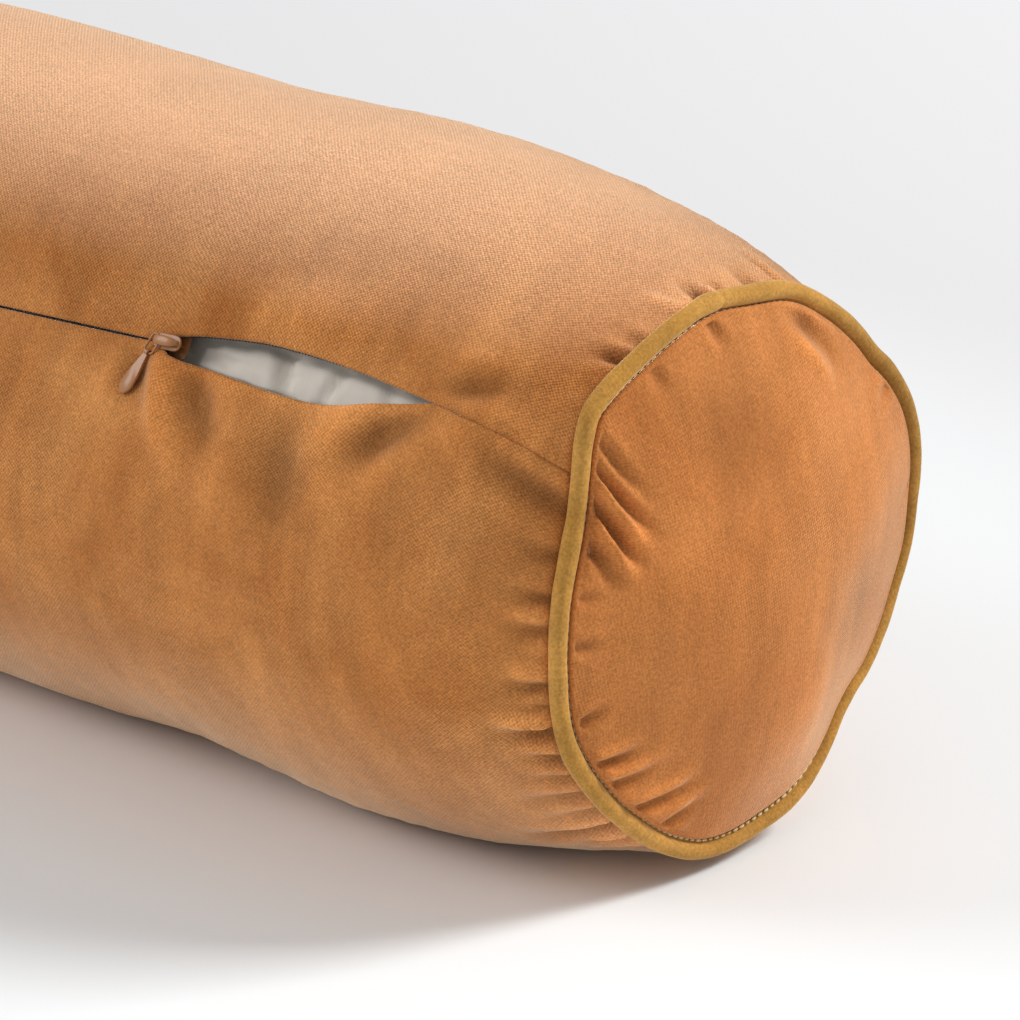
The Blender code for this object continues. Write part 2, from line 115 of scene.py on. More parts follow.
def through(knots: list[tuple[float, float]], at: np.ndarray) -> np.ndarray:
    """Reads a smooth curve through knots.

    Args:
        knots: (place, value) pairs in rising order of place.
        at: Places to read it at.

    Returns:
        The curve's value at each place.
    """
    spot, value = np.array(knots).T
    slope = np.gradient(value, spot)
    i = np.clip(np.searchsorted(spot, at, side="right") - 1, 0, len(spot) - 2)
    step = spot[i + 1] - spot[i]
    t = np.clip((at - spot[i]) / step, 0, 1)
    rise = (2 * t**3 - 3 * t**2 + 1) * value[i] + (3 * t**2 - 2 * t**3) * value[i + 1]
    return rise + step * ((t**3 - 2 * t**2 + t) * slope[i] + (t**3 - t**2) * slope[i + 1])


def round_wave(turn: np.ndarray, knots: list[tuple[float, float]]) -> np.ndarray:
    """Reads a smooth closed curve through knots.

    Args:
        turn: Angles in radians.
        knots: (degrees, value) pairs in rising order of angle, within one circle.

    Returns:
        The curve's value at each angle.
    """
    around = [(a - 360, v) for a, v in knots[-2:]] + knots + [(a + 360, v) for a, v in knots[:2]]
    first = around[1][0]
    return through(around, (np.degrees(turn) - first) % 360 + first)


def graded(stops: list[tuple[float, float]], steps: list[float]) -> np.ndarray:
    """Values that run through stretches, each with its own spacing.

    Args:
        stops: (start, stop) of each stretch.
        steps: Spacing wanted in each stretch.

    Returns:
        All the values, without repeats.
    """
    parts = []
    for (start, stop), step in zip(stops, steps):
        count = max(2, int(round(abs(stop - start) / step)) + 1)
        parts.append(np.linspace(start, stop, count)[(1 if parts else 0):])
    return np.concatenate(parts)


def grid_mesh(name: str, points: np.ndarray, cloth: np.ndarray, closed: bool = False) -> bpy.types.Object:
    """Makes a sheet from a grid of points.

    Args:
        name: Name of the piece.
        points: Rows by columns by 3.
        cloth: Rows by columns by 2, the place of each point on the flat cloth in metres. A closed
            grid has one column more, for the far side of the join.
        closed: Joins the last column to the first.

    Returns:
        The new object.
    """
    rows, columns = points.shape[:2]
    spans = columns if closed else columns - 1
    r, c = np.meshgrid(np.arange(rows - 1), np.arange(spans), indexing="ij")
    after = (c + 1) % columns
    faces = np.stack([r * columns + c, r * columns + after, (r + 1) * columns + after,
                      (r + 1) * columns + c], -1).reshape(-1, 4)
    wide = cloth.shape[1]
    flat = cloth.reshape(-1, 2)
    corner = np.stack([r * wide + c, r * wide + c + 1, (r + 1) * wide + c + 1, (r + 1) * wide + c],
                      -1).reshape(-1)
    mesh = bpy.data.meshes.new(name)
    mesh.from_pydata(points.reshape(-1, 3), [], faces)
    layer = mesh.uv_layers.new(name="cloth")
    layer.data.foreach_set("uv", flat[corner].astype(np.float32).ravel())
    mesh.shade_smooth()
    obj = bpy.data.objects.new(name, mesh)
    bpy.context.scene.collection.objects.link(obj)
    return obj


def mark_painted_shading(obj: bpy.types.Object, heights: np.ndarray) -> None:
    """Stores how high each point stands in a fold, in millimetres, for the cloth's finish to read as painted shade in
    the furrows and painted highlight on the ridges.
    """
    layer = obj.data.attributes.new("fold", "FLOAT", "POINT")
    layer.data.foreach_set("value", (heights / MM).astype(np.float32).ravel())


def bake_modifiers(obj: bpy.types.Object) -> None:
    """Makes the object's evaluated shape its own mesh and drops its modifiers.

    Args:
        obj: The piece.
    """
    graph = bpy.context.evaluated_depsgraph_get()
    mesh = bpy.data.meshes.new_from_object(obj.evaluated_get(graph), depsgraph=graph)
    obj.modifiers.clear()
    obj.data = mesh


def fix_outwards(obj: bpy.types.Object) -> None:
    """Recalculates a closed mesh's faces so that they look outwards.

    Args:
        obj: The piece.
    """
    form = bmesh.new()
    form.from_mesh(obj.data)
    bmesh.ops.remove_doubles(form, verts=form.verts, dist=1e-6)
    bmesh.ops.recalc_face_normals(form, faces=form.faces)
    form.to_mesh(obj.data)
    form.free()


def thicken(obj: bpy.types.Object, thickness: float) -> None:
    """Gives a sheet a wall, inwards from its outer face.

    Args:
        obj: The sheet.
        thickness: Of the wall, in metres.
    """
    wall = obj.modifiers.new("wall", "SOLIDIFY")
    wall.thickness = thickness
    wall.offset = -1
    bake_modifiers(obj)


def fill_holes(obj: bpy.types.Object, within: float = 10 * MM) -> None:
    """Closes a mesh's holes that lie round the pillow's long axis.

    Args:
        obj: The mesh.
        within: The most that a hole's edge may be from the axis, in metres.
    """
    form = bmesh.new()
    form.from_mesh(obj.data)
    rims = [e for e in form.edges if e.is_boundary and (e.verts[0].co.yz - Vector((0, SEAM_HEIGHT))).length < within]
    bmesh.ops.holes_fill(form, edges=rims, sides=0)
    form.to_mesh(obj.data)
    form.free()


def about_axis(x: np.ndarray, turn: np.ndarray, radius: np.ndarray) -> np.ndarray:
    """Points at a radius about the end seams' middle.

    Args:
        x: Places along the pillow.
        turn: Angles round it.
        radius: Distances from its middle.

    Returns:
        The points.
    """
    return np.stack(np.broadcast_arrays(x, -radius * np.cos(turn), SEAM_HEIGHT + radius * np.sin(turn)), -1)


def tube_points(path: np.ndarray, out: np.ndarray, section: np.ndarray, closed: bool) -> np.ndarray:
    """Sweeps a section along a path.

    Args:
        path: Points of the path.
        out: For each point, the direction that the section's second axis takes.
        section: (points, 2) offsets across the path, in metres, or one such list for each path point.
        closed: The path's ends meet.

    Returns:
        Path points by section points by 3.
    """
    if closed:
        along = np.roll(path, -1, 0) - np.roll(path, 1, 0)
    else:
        along = np.gradient(path, axis=0)
    along /= np.linalg.norm(along, axis=1, keepdims=True)
    up = out - (out * along).sum(1, keepdims=True) * along
    up /= np.linalg.norm(up, axis=1, keepdims=True)
    across = np.cross(along, up)
    if section.ndim == 2:
        section = np.broadcast_to(section, (len(path), *section.shape))
    return path[:, None] + across[:, None] * section[..., :1] + up[:, None] * section[..., 1:]


def closed_both_ways(points: np.ndarray) -> np.ndarray:
    """Repeats the first row and column of a ring's points at its far sides."""
    points = np.concatenate([points, points[:1]])
    return np.concatenate([points, points[:, :1]], 1)


def circle(radius: float, count: int) -> np.ndarray:
    """A round section for a tube."""
    ring = np.radians(np.arange(0, 360, 360 // count))
    return radius * np.stack([np.cos(ring), np.sin(ring)], -1)


def bridge(form: bmesh.types.BMesh, first: list[bmesh.types.BMVert], second: list[bmesh.types.BMVert]) -> None:
    """Joins two rings of as many points with a band of faces.

    Args:
        form: The mesh.
        first: One ring.
        second: The other.
    """
    for i in range(len(first)):
        j = (i + 1) % len(first)
        form.faces.new((first[i], first[j], second[j], second[i]))


# ---- Materials -----------------------------------------------------------------------------------

BLEND = {"data_type": "RGBA"}  # a Mix node that blends two colours
TINT = {"data_type": "RGBA", "blend_type": "MULTIPLY"}  # and one that shades a colour by a grey


def linear(code: str) -> tuple[float, float, float, float]:
    """Turns an sRGB hex colour into linear red, green, blue and alpha."""
    parts = [int(code[i:i + 2], 16) / 255 for i in (1, 3, 5)]
    return (*[p / 12.92 if p <= 0.04045 else ((p + 0.055) / 1.055) ** 2.4 for p in parts], 1.0)


def add(tree: bpy.types.NodeTree, kind: str, inputs: dict | None = None, **settings) -> bpy.types.Node:
    """Adds a node.

    Args:
        tree: Where it goes.
        kind: The node's type.
        inputs: For each input's name or number, a value or the socket that feeds it.
        settings: The node's own options.

    Returns:
        The new node.
    """
    node = tree.nodes.new(kind)
    for name, value in settings.items():
        setattr(node, name, value)
    for name, value in (inputs or {}).items():
        if isinstance(value, bpy.types.NodeSocket):
            tree.links.new(value, node.inputs[name])
        else:
            node.inputs[name].default_value = value
    return node


def new_material(name: str, constants: dict[str, object]) -> tuple[bpy.types.Material, bpy.types.NodeTree]:
    """Starts a material.

    Args:
        name: What the real one is.
        constants: What is the same all over the surface, by the shader's sockets.

    Returns:
        The material and its tree.
    """
    material = bpy.data.materials.new(name)
    material.use_nodes = True
    for socket, value in constants.items():
        material.node_tree.nodes["Principled BSDF"].inputs[socket].default_value = value
    return material, material.node_tree


def surface(tree: bpy.types.NodeTree, colour: bpy.types.NodeSocket, height: bpy.types.NodeSocket,
            strength: float, depth: float) -> None:
    """Gives a material's shader its colour and its relief.

    Args:
        tree: The material's tree.
        colour: The colour all over the surface.
        height: The relief, 0 to 1.
        strength: How strongly the relief shows.
        depth: How deep it is, in metres.
    """
    bump = add(tree, "ShaderNodeBump", {"Strength": strength, "Distance": depth, "Height": height})
    shader = tree.nodes["Principled BSDF"]
    tree.links.new(colour, shader.inputs["Base Color"])
    tree.links.new(bump.outputs[0], shader.inputs["Normal"])


def weave(tree: bpy.types.NodeTree, cloth: bpy.types.NodeSocket, thread: float) -> bpy.types.NodeSocket:
    """A plain weave.

    Args:
        tree: The material's tree.
        cloth: Places on the flat cloth, in metres.
        thread: Spacing of the threads, in metres.

    Returns:
        Its height, 1 on the crown of a crossing and 0 in the gaps.
    """
    split = add(tree, "ShaderNodeSeparateXYZ", {0: cloth})
    waves = []
    for axis in (0, 1):
        run = add(tree, "ShaderNodeMath", {0: split.outputs[axis], 1: TAU / (2 * thread)}, operation="MULTIPLY")
        waves.append(add(tree, "ShaderNodeMath", {0: run.outputs[0]}, operation="SINE").outputs[0])
    crossing = add(tree, "ShaderNodeMath", {0: waves[0], 1: waves[1]}, operation="MULTIPLY").outputs[0]
    return add(tree, "ShaderNodeMath", {0: crossing, 1: 0.5, 2: 0.5}, operation="MULTIPLY_ADD").outputs[0]


@dataclass(frozen=True)
class Velvet:
    """Polyester velvet: a short cut pile on a woven ground.

    The pile lies different ways where it was brushed or pressed, which gives soft light and dark
    clouds. The ground's threads show through it as a grain, and the pile's tips catch light at a
    glancing angle. Real threads are about 0.35 mm apart and are drawn coarser here, so that they show.
    """

    name: str
    light: str
    dark: str
    glow: str
    thread: float = 0.66 * MM
    grain: float = 1.0
    slant: float = 0.0
    cloud: float = 60 * MM
    painted_light_tint: str = ""  # painted highlight: paler along the top where light catches the pile's tips, and painted bounce light: a little paler round the foot near the floor
    handled: float = 0.0  # how much more of the ground shows on the upper side, where hands rub the pile

    def ground(self, tree: bpy.types.NodeTree, cloth: bpy.types.NodeSocket,
               place: bpy.types.NodeSocket) -> bpy.types.NodeSocket:
        """The woven ground, its threads a little wavy.

        Args:
            tree: The material's tree.
            cloth: Places on the flat cloth.
            place: Places in the room.

        Returns:
            Its height.
        """
        turned = add(tree, "ShaderNodeMapping", {"Vector": cloth, "Rotation": (0, 0, self.slant)})
        wander = add(tree, "ShaderNodeTexNoise", {"Vector": place, "Scale": 0.6 / self.thread, "Detail": 2.0})
        pushed = add(tree, "ShaderNodeVectorMath", {0: wander.outputs["Color"], 1: (0.5, 0.5, 0.5)},
                     operation="SUBTRACT")
        pushed = add(tree, "ShaderNodeVectorMath", {0: pushed.outputs[0], "Scale": 1.7 * self.thread},
                     operation="SCALE")
        wavy = add(tree, "ShaderNodeVectorMath", {0: turned.outputs[0], 1: pushed.outputs[0]}, operation="ADD")
        return weave(tree, wavy.outputs[0], self.thread)

    def shown(self, tree: bpy.types.NodeTree, place: bpy.types.NodeSocket,
              height: bpy.types.NodeSocket) -> bpy.types.NodeSocket:
        """How much of the ground shows through the pile, most in worn patches.

        Args:
            tree: The material's tree.
            place: Places in the room.
            height: Their height above the floor.

        Returns:
            The share that shows.
        """
        worn = add(tree, "ShaderNodeTexNoise", {"Vector": place, "Scale": 1 / (55 * MM), "Detail": 2.0}).outputs[0]
        worn = add(tree, "ShaderNodeMapRange", {0: worn, 1: 0.35, 2: 0.65, 3: 0.15, 4: 0.75}).outputs[0]
        handled = add(tree, "ShaderNodeMapRange", {0: height, 1: 0.12, 2: 0.165, 4: self.handled}).outputs[0]
        both = add(tree, "ShaderNodeMath", {0: worn, 1: handled}, operation="ADD").outputs[0]
        return add(tree, "ShaderNodeMath", {0: both, 1: self.grain}, operation="MULTIPLY").outputs[0]

    def nap(self, tree: bpy.types.NodeTree, cloth: bpy.types.NodeSocket, place: bpy.types.NodeSocket,
            height: bpy.types.NodeSocket, tufts: bpy.types.NodeSocket) -> bpy.types.NodeSocket:
        """The pile's colour: clouds, brushed streaks, tufts, a painted highlight along the top, painted bounce light
        round the foot, and painted shade in its folds with painted highlight on their ridges.

        Args:
            tree: The material's tree.
            cloth: Places on the flat cloth.
            place: Places in the room.
            height: Their height above the floor.
            tufts: How full the pile's tufts are.

        Returns:
            The colour, without the ground's grain.
        """
        clouds = add(tree, "ShaderNodeTexNoise", {"Vector": place, "Scale": 1 / self.cloud, "Detail": 5.0,
                                                  "Roughness": 0.58, "Distortion": 0.5}).outputs[0]
        clouds = add(tree, "ShaderNodeMapRange", {0: clouds, 1: 0.33, 2: 0.68}).outputs[0]
        nap = add(tree, "ShaderNodeMix", {0: clouds, 6: linear(self.dark), 7: linear(self.light)}, **BLEND).outputs[2]
        combed = add(tree, "ShaderNodeMapping", {"Vector": cloth, "Scale": (1 / (9 * MM), 1 / (48 * MM), 1.0)})
        brushed = add(tree, "ShaderNodeTexNoise", {"Vector": combed.outputs[0], "Scale": 1.0, "Detail": 4.0})
        brushed = add(tree, "ShaderNodeMapRange", {0: brushed.outputs[0], 1: 0.3, 2: 0.7, 3: 0.88, 4: 1.1})
        nap = add(tree, "ShaderNodeMix", {0: 1.0, 6: nap, 7: brushed.outputs[0]}, **TINT).outputs[2]
        # Painted highlight along the top and painted bounce light round the foot, mixed into the colour by height.
        if self.painted_light_tint:
            rise = add(tree, "ShaderNodeMapRange", {0: height, 1: 0.164, 2: 0.198, 4: 0.9}).outputs[0]
            foot = add(tree, "ShaderNodeMapRange", {0: height, 1: 0.07, 2: 0.005, 4: 0.35}).outputs[0]
            both = add(tree, "ShaderNodeMath", {0: rise, 1: foot}, operation="ADD").outputs[0]
            nap = add(tree, "ShaderNodeMix", {0: both, 6: nap, 7: linear(self.painted_light_tint)}, **BLEND).outputs[2]
        speck = add(tree, "ShaderNodeMapRange", {0: tufts, 1: 0.3, 2: 0.7, 3: 0.8, 4: 1.2}).outputs[0]
        nap = add(tree, "ShaderNodeMix", {0: 1.0, 6: nap, 7: speck}, **TINT).outputs[2]
        # Painted shade in the furrows of the folds and painted highlight on their ridges, from the stored fold heights.
        fold = add(tree, "ShaderNodeAttribute", attribute_name="fold").outputs["Fac"]
        painted_fold_shade = add(tree, "ShaderNodeMapRange", {0: fold, 1: -2.2, 2: 2.2, 3: 0.62, 4: 1.38}).outputs[0]
        return add(tree, "ShaderNodeMix", {0: 1.0, 6: nap, 7: painted_fold_shade}, **TINT).outputs[2]

    def build(self) -> bpy.types.Material:
        """Makes the material.

        Returns:
            The velvet.
        """
        material, tree = new_material(self.name, {
            "Roughness": 0.92, "Specular IOR Level": 0.2, "Sheen Weight": 1.0, "Sheen Roughness": 0.3,
            "Sheen Tint": linear(self.glow)})
        cloth = add(tree, "ShaderNodeUVMap", uv_map="cloth").outputs[0]
        place = add(tree, "ShaderNodeTexCoord").outputs["Object"]
        height = add(tree, "ShaderNodeSeparateXYZ", {0: place}).outputs[2]
        tufts = add(tree, "ShaderNodeTexNoise", {"Vector": place, "Scale": 1 / (0.9 * MM), "Detail": 3.0}).outputs[0]
        knots = self.ground(tree, cloth, place)
        shown = self.shown(tree, place, height)
        nap = self.nap(tree, cloth, place, height, tufts)
        raised = add(tree, "ShaderNodeMapRange", {0: knots, 3: 0.56, 4: 1.34}).outputs[0]
        grained = add(tree, "ShaderNodeMix", {0: 1.0, 6: nap, 7: raised}, **TINT).outputs[2]
        nap = add(tree, "ShaderNodeMix", {0: shown, 6: nap, 7: grained}, **BLEND).outputs[2]
        pile = add(tree, "ShaderNodeMath", {0: tufts, 1: 0.7}, operation="MULTIPLY").outputs[0]
        relief = add(tree, "ShaderNodeMath", {0: knots, 1: shown, 2: pile}, operation="MULTIPLY_ADD").outputs[0]
        surface(tree, nap, relief, 0.55, 0.35 * MM)
        return material


@dataclass(frozen=True)
class PlainCotton:
    """Plain cloth of cotton or polyester: a fine even weave, matt, with slubs in its threads.

    Real threads are about half as far apart as they are drawn here, so that they show.
    """

    name: str
    colour: str
    thread: float = 0.6 * MM

    def build(self) -> bpy.types.Material:
        """Makes the material.

        Returns:
            The cloth.
        """
        material, tree = new_material(self.name, {"Roughness": 0.85, "Specular IOR Level": 0.25, "Sheen Weight": 0.15})
        knots = weave(tree, add(tree, "ShaderNodeUVMap", uv_map="cloth").outputs[0], self.thread)
        place = add(tree, "ShaderNodeTexCoord").outputs["Object"]
        slub = add(tree, "ShaderNodeTexNoise", {"Vector": place, "Scale": 1 / (9 * MM), "Detail": 3.0}).outputs[0]
        tone = add(tree, "ShaderNodeMapRange", {0: slub, 1: 0.3, 2: 0.7, 3: 0.94, 4: 1.04}).outputs[0]
        grain = add(tree, "ShaderNodeMath", {0: knots, 1: 0.05, 2: 0.96}, operation="MULTIPLY_ADD").outputs[0]
        tone = add(tree, "ShaderNodeMath", {0: tone, 1: grain}, operation="MULTIPLY").outputs[0]
        colour = add(tree, "ShaderNodeMix", {0: 1.0, 6: linear(self.colour), 7: tone}, **TINT).outputs[2]
        surface(tree, colour, knots, 0.25, 0.12 * MM)
        return material


@dataclass(frozen=True)
class SatinEnamel:
    """Sprayed satin enamel on die-cast zinc: even colour, a slight orange peel and soft highlights."""

    name: str
    colour: str
    roughness: float = 0.38

    def build(self) -> bpy.types.Material:
        """Makes the material.

        Returns:
            The enamel.
        """
        material, tree = new_material(self.name, {"IOR": 1.5, "Coat Weight": 0.15})
        place = add(tree, "ShaderNodeTexCoord").outputs["Object"]
        peel = add(tree, "ShaderNodeTexNoise", {"Vector": place, "Scale": 1 / (0.5 * MM), "Detail": 2.0}).outputs[0]
        wear = add(tree, "ShaderNodeTexNoise", {"Vector": place, "Scale": 1 / (2.4 * MM), "Detail": 4.0}).outputs[0]
        tone = add(tree, "ShaderNodeMapRange", {0: wear, 1: 0.3, 2: 0.75, 3: 0.9, 4: 1.06}).outputs[0]
        colour = add(tree, "ShaderNodeMix", {0: 1.0, 6: linear(self.colour), 7: tone}, **TINT).outputs[2]
        matt = add(tree, "ShaderNodeMapRange", {0: wear, 3: self.roughness - 0.06, 4: self.roughness + 0.1})
        tree.links.new(matt.outputs[0], tree.nodes["Principled BSDF"].inputs["Roughness"])
        surface(tree, colour, peel, 0.15, 0.03 * MM)
        return material


@dataclass(frozen=True)
class SpunThread:
    """Twisted thread, coil or cord: fine slanting strands with a dull gleam."""

    name: str
    colour: str
    pitch: float = 0.8 * MM
    roughness: float = 0.7

    def build(self) -> bpy.types.Material:
        """Makes the material.

        Returns:
            The thread's finish.
        """
        material, tree = new_material(self.name, {"Roughness": self.roughness, "Sheen Weight": 0.1})
        place = add(tree, "ShaderNodeTexCoord").outputs["Object"]
        split = add(tree, "ShaderNodeSeparateXYZ", {0: place}).outputs
        lean = add(tree, "ShaderNodeMath", {0: split[1], 1: split[2]}, operation="ADD").outputs[0]
        lean = add(tree, "ShaderNodeMath", {0: split[0], 1: lean}, operation="ADD").outputs[0]
        strands = add(tree, "ShaderNodeMath", {0: lean, 1: TAU / self.pitch}, operation="MULTIPLY").outputs[0]
        strands = add(tree, "ShaderNodeMath", {0: strands}, operation="SINE").outputs[0]
        strands = add(tree, "ShaderNodeMath", {0: strands, 1: 0.5, 2: 0.5}, operation="MULTIPLY_ADD").outputs[0]
        fuzz = add(tree, "ShaderNodeTexNoise", {"Vector": place, "Scale": 1 / (0.6 * MM), "Detail": 3.0}).outputs[0]
        fuzz = add(tree, "ShaderNodeMath", {0: fuzz, 1: 0.3, 2: 0.7}, operation="MULTIPLY_ADD").outputs[0]
        tone = add(tree, "ShaderNodeMath", {0: strands, 1: 0.22, 2: fuzz}, operation="MULTIPLY_ADD").outputs[0]
        colour = add(tree, "ShaderNodeMix", {0: 1.0, 6: linear(self.colour), 7: tone}, **TINT).outputs[2]
        surface(tree, colour, strands, 0.4, 0.08 * MM)
        return material


@dataclass(frozen=True)
class StudioPaper:
    """Matt seamless paper, off-white, with the faintest tooth, and painted light: whiter round the pillow and lighter
    far behind it.
    """

    name: str
    colour: str
    near: str  # painted light: whiter and a little blue round the pillow, lifting the shade and warm bounce it casts there
    back: str  # painted light: lighter far behind it, standing in for the light on the sweep where it curves up

    def build(self) -> bpy.types.Material:
        """Makes the material.

        Returns:
            The paper.
        """
        material, tree = new_material(self.name, {"Roughness": 0.95, "Specular IOR Level": 0.1})
        place = add(tree, "ShaderNodeTexCoord").outputs["Object"]
        # Painted light on the paper: whiter round the pillow and lighter towards the back.
        painted_light_pool = add(tree, "ShaderNodeMapping", {"Vector": place, "Scale": (1 / 0.45, 1 / 0.3, 1.0)}).outputs[0]
        away = add(tree, "ShaderNodeVectorMath", {0: painted_light_pool}, operation="LENGTH").outputs["Value"]
        away = add(tree, "ShaderNodeMapRange", {0: away, 1: 0.7, 2: 1.7}, interpolation_type="SMOOTHSTEP").outputs[0]
        depth = add(tree, "ShaderNodeSeparateXYZ", {0: place}).outputs[1]
        depth = add(tree, "ShaderNodeMapRange", {0: depth, 1: -0.1, 2: 1.6}).outputs[0]
        far = add(tree, "ShaderNodeMix", {0: depth, 6: linear(self.colour), 7: linear(self.back)}, **BLEND).outputs[2]
        white = add(tree, "ShaderNodeMix", {0: away, 6: linear(self.near), 7: far}, **BLEND).outputs[2]
        tooth = add(tree, "ShaderNodeTexNoise", {"Vector": place, "Scale": 900.0, "Detail": 2.0}).outputs[0]
        tone = add(tree, "ShaderNodeMapRange", {0: tooth, 3: 0.99, 4: 1.01}).outputs[0]
        colour = add(tree, "ShaderNodeMix", {0: 1.0, 6: white, 7: tone}, **TINT).outputs[2]
        tree.links.new(colour, tree.nodes["Principled BSDF"].inputs["Base Color"])
        return material


class Finishes:
    """All the pillow's materials."""

    def __init__(self) -> None:
        """Builds each material once."""
        # Tan velvet, brushed unevenly by use: cloudy; palest along the top as painted highlight, and a little paler
        # round the foot as painted bounce light.
        self.velvet = Velvet("short_pile_velvet_tan", "#D28E50", "#AE6A31", "#FFE9CC",
                             painted_light_tint="#EDB78E", handled=0.45).build()
        # The same velvet, cut for the discs with its nap at a slant, so it looks a little redder.
        self.end_velvet = Velvet("short_pile_velvet_tan_disc", "#CB8246", "#B87037", "#FFEACF",
                                 slant=math.radians(32)).build()
        # Ochre velvet cut on the bias and stretched round the cord: a smoother, closer pile.
        self.piping = Velvet("bias_cut_velvet_ochre", "#C8944A", "#B4823A", "#F6DCA8", thread=0.7 * MM,
                             grain=0.25, slant=math.radians(45), cloud=30 * MM).build()
        # Bleached cambric, warm white and matt.
        self.casing = PlainCotton("bleached_cotton_cambric", "#F3ECE1").build()
        # Felted fibre, greyer and softer than the casing.
        self.fibre = PlainCotton("hollow_polyester_fibre", "#E6E4DE", thread=1.4 * MM).build()
        # Narrow woven tape, painted dark brown as shade, so that the closed zip line between the lips reads as a
        # shadowed gap.
        self.tape = PlainCotton("woven_polyester_tape_tan", "#4A2C16", thread=0.5 * MM).build()
        self.enamel = SatinEnamel("satin_enamel_on_zinc_tan", "#A9703F").build()
        # Extruded nylon, glossier than thread, painted dark brown as the shade in the closed zip's gap.
        self.coil = SpunThread("dyed_nylon_coil", "#3E2613", roughness=0.45).build()
        # Cream thread at the end seams, and tan thread where it should not be seen.
        self.thread = SpunThread("spun_polyester_thread_cream", "#D9BE8E").build()
        self.dark_thread = SpunThread("spun_polyester_thread_tan", "#8A5526").build()
        # Loosely spun cotton, its strands far apart.
        self.cord = SpunThread("soft_cotton_filler_cord", "#E2D9C6", pitch=2.5 * MM).build()


# ---- Form of the pillow --------------------------------------------------------------------------


@dataclass(frozen=True)
class Crease:
    """A fold in the cloth, from a start to a stop, each (mm in from the end seam, degrees of turn).

    A positive lift is a ridge, a negative one a furrow with a soft swelling on both sides. A rooted
    crease starts at a seam at its full depth; any other fades out at both of its ends.
    """

    start: tuple[float, float]
    stop: tuple[float, float]
    width: float
    lift: float
    rooted: bool = True

    def height(self, inward: np.ndarray, turn: np.ndarray, radius: float) -> np.ndarray:
        """Height of the fold in metres at places on the cloth.

        Args:
            inward: Distance in from the end seam, in metres.
            turn: Angle round the pillow, in radians.
            radius: The radius that turns a turn into a distance.

        Returns:
            The height at each place.
        """
        a_turn, b_turn = math.radians(self.start[1]), math.radians(self.stop[1])
        u, v = inward / MM, turn_gap(turn, a_turn) * radius / MM
        run_u, run_v = self.stop[0] - self.start[0], (b_turn - a_turn) * radius / MM
        length = math.hypot(run_u, run_v)
        along = ((u - self.start[0]) * run_u + v * run_v) / length**2
        aside = ((u - self.start[0]) * run_v - v * run_u) / length
        ends = 1 - ease((along - 0.35) / 0.75)
        ends = ends * (ease((along + 0.25) / 0.25) if self.rooted else ease((along + 0.15) / 0.6))
        spread = self.width * (1 + 0.35 * np.clip(along, 0, 1))
        shape = np.exp(-((aside / spread) ** 2))
        if self.lift < 0:
            shape = shape - 0.38 * np.exp(-(((np.abs(aside) - 1.9 * spread) / spread) ** 2))
        return 2.3 * self.lift * MM * ends * shape


# How far each end seam is pulled in and out by its gathers: (degrees of turn, millimetres from the middle).
NEAR_SEAM_WAVE = [(0, 78.2), (10, 77.8), (18, 77.6), (27, 79.3), (34, 83.3), (40, 88.2), (44.5, 90.9), (50, 89.9),
                  (59, 87.2), (69, 85.7), (80, 85), (92, 82.4), (106, 82.2), (119, 80.4), (133, 79.8),
                  (141, 80.0), (149, 82.6), (160, 85.2), (169, 85.3), (180, 83.2), (190, 82.2), (199, 80.2),
                  (210, 79.6), (219, 78.9), (225, 77.6), (231, 78.6), (238, 82.0), (247, 85.6), (262, 86.2),
                  (280, 86.2), (291, 83.8), (303, 81.2), (318, 80.2), (340, 80.8), (352, 79)]
FAR_SEAM_WAVE = [(5, 81), (20, 84.5), (33, 88), (47, 84), (66, 80.5), (88, 83), (104, 86.5), (126, 83),
                 (148, 79.5), (170, 83), (186, 86.8), (204, 82), (226, 79.5), (244, 84), (262, 87), (281, 84.5),
                 (300, 80), (322, 79.2), (342, 82.5)]
SEAM_WAVES = {End.NEAR: NEAR_SEAM_WAVE, End.FAR: FAR_SEAM_WAVE}

NEAR_CREASES = [
    Crease((0, 26.8), (34, 31.6), 4.0, -1.0), Crease((2, 31.6), (28, 35.0), 3.0, 0.5),
    Crease((0, 17.6), (11, 16.2), 2.2, -0.9), Crease((0, 8.2), (12, 7.4), 2.0, -1.2),
    Crease((0, 4.9), (16, 3.7), 2.4, 0.8), Crease((0, 2.0), (13, 0.4), 2.2, -1.0),
    Crease((0, -7.7), (14, -6.7), 2.4, 0.9), Crease((0, -10.5), (16, -12.2), 2.2, -1.2),
    Crease((0, -14.6), (15, -17.0), 1.9, -1.1), Crease((0, -17.8), (20, -19.4), 2.4, 1.1),
    Crease((0, -20.3), (20, -23.0), 2.4, -1.6), Crease((0, -29.4), (15, -27.0), 2.2, -1.2),
    Crease((0, -34.5), (14, -34.0), 2.2, -0.8), Crease((0, -40.8), (25, -41.6), 2.6, -0.9),
    Crease((0, -47.4), (20, -47.2), 2.5, -0.8),
    Crease((0, -54.0), (34, -56.5), 2.6, -1.6), Crease((0, -62.0), (22, -60.0), 2.2, -1.2),
    Crease((0, 58.8), (15, 55.8), 1.8, -1.4), Crease((0, 64.0), (12, 62.0), 2.0, -0.7),
    Crease((0, 81.2), (13, 83.4), 2.2, -1.9), Crease((0, 76.0), (18, 73.0), 2.4, 1.0),
    Crease((0, 87.0), (12, 88.5), 2.0, -1.2), Crease((0, 97.0), (14, 99.0), 2.2, -1.0),
]
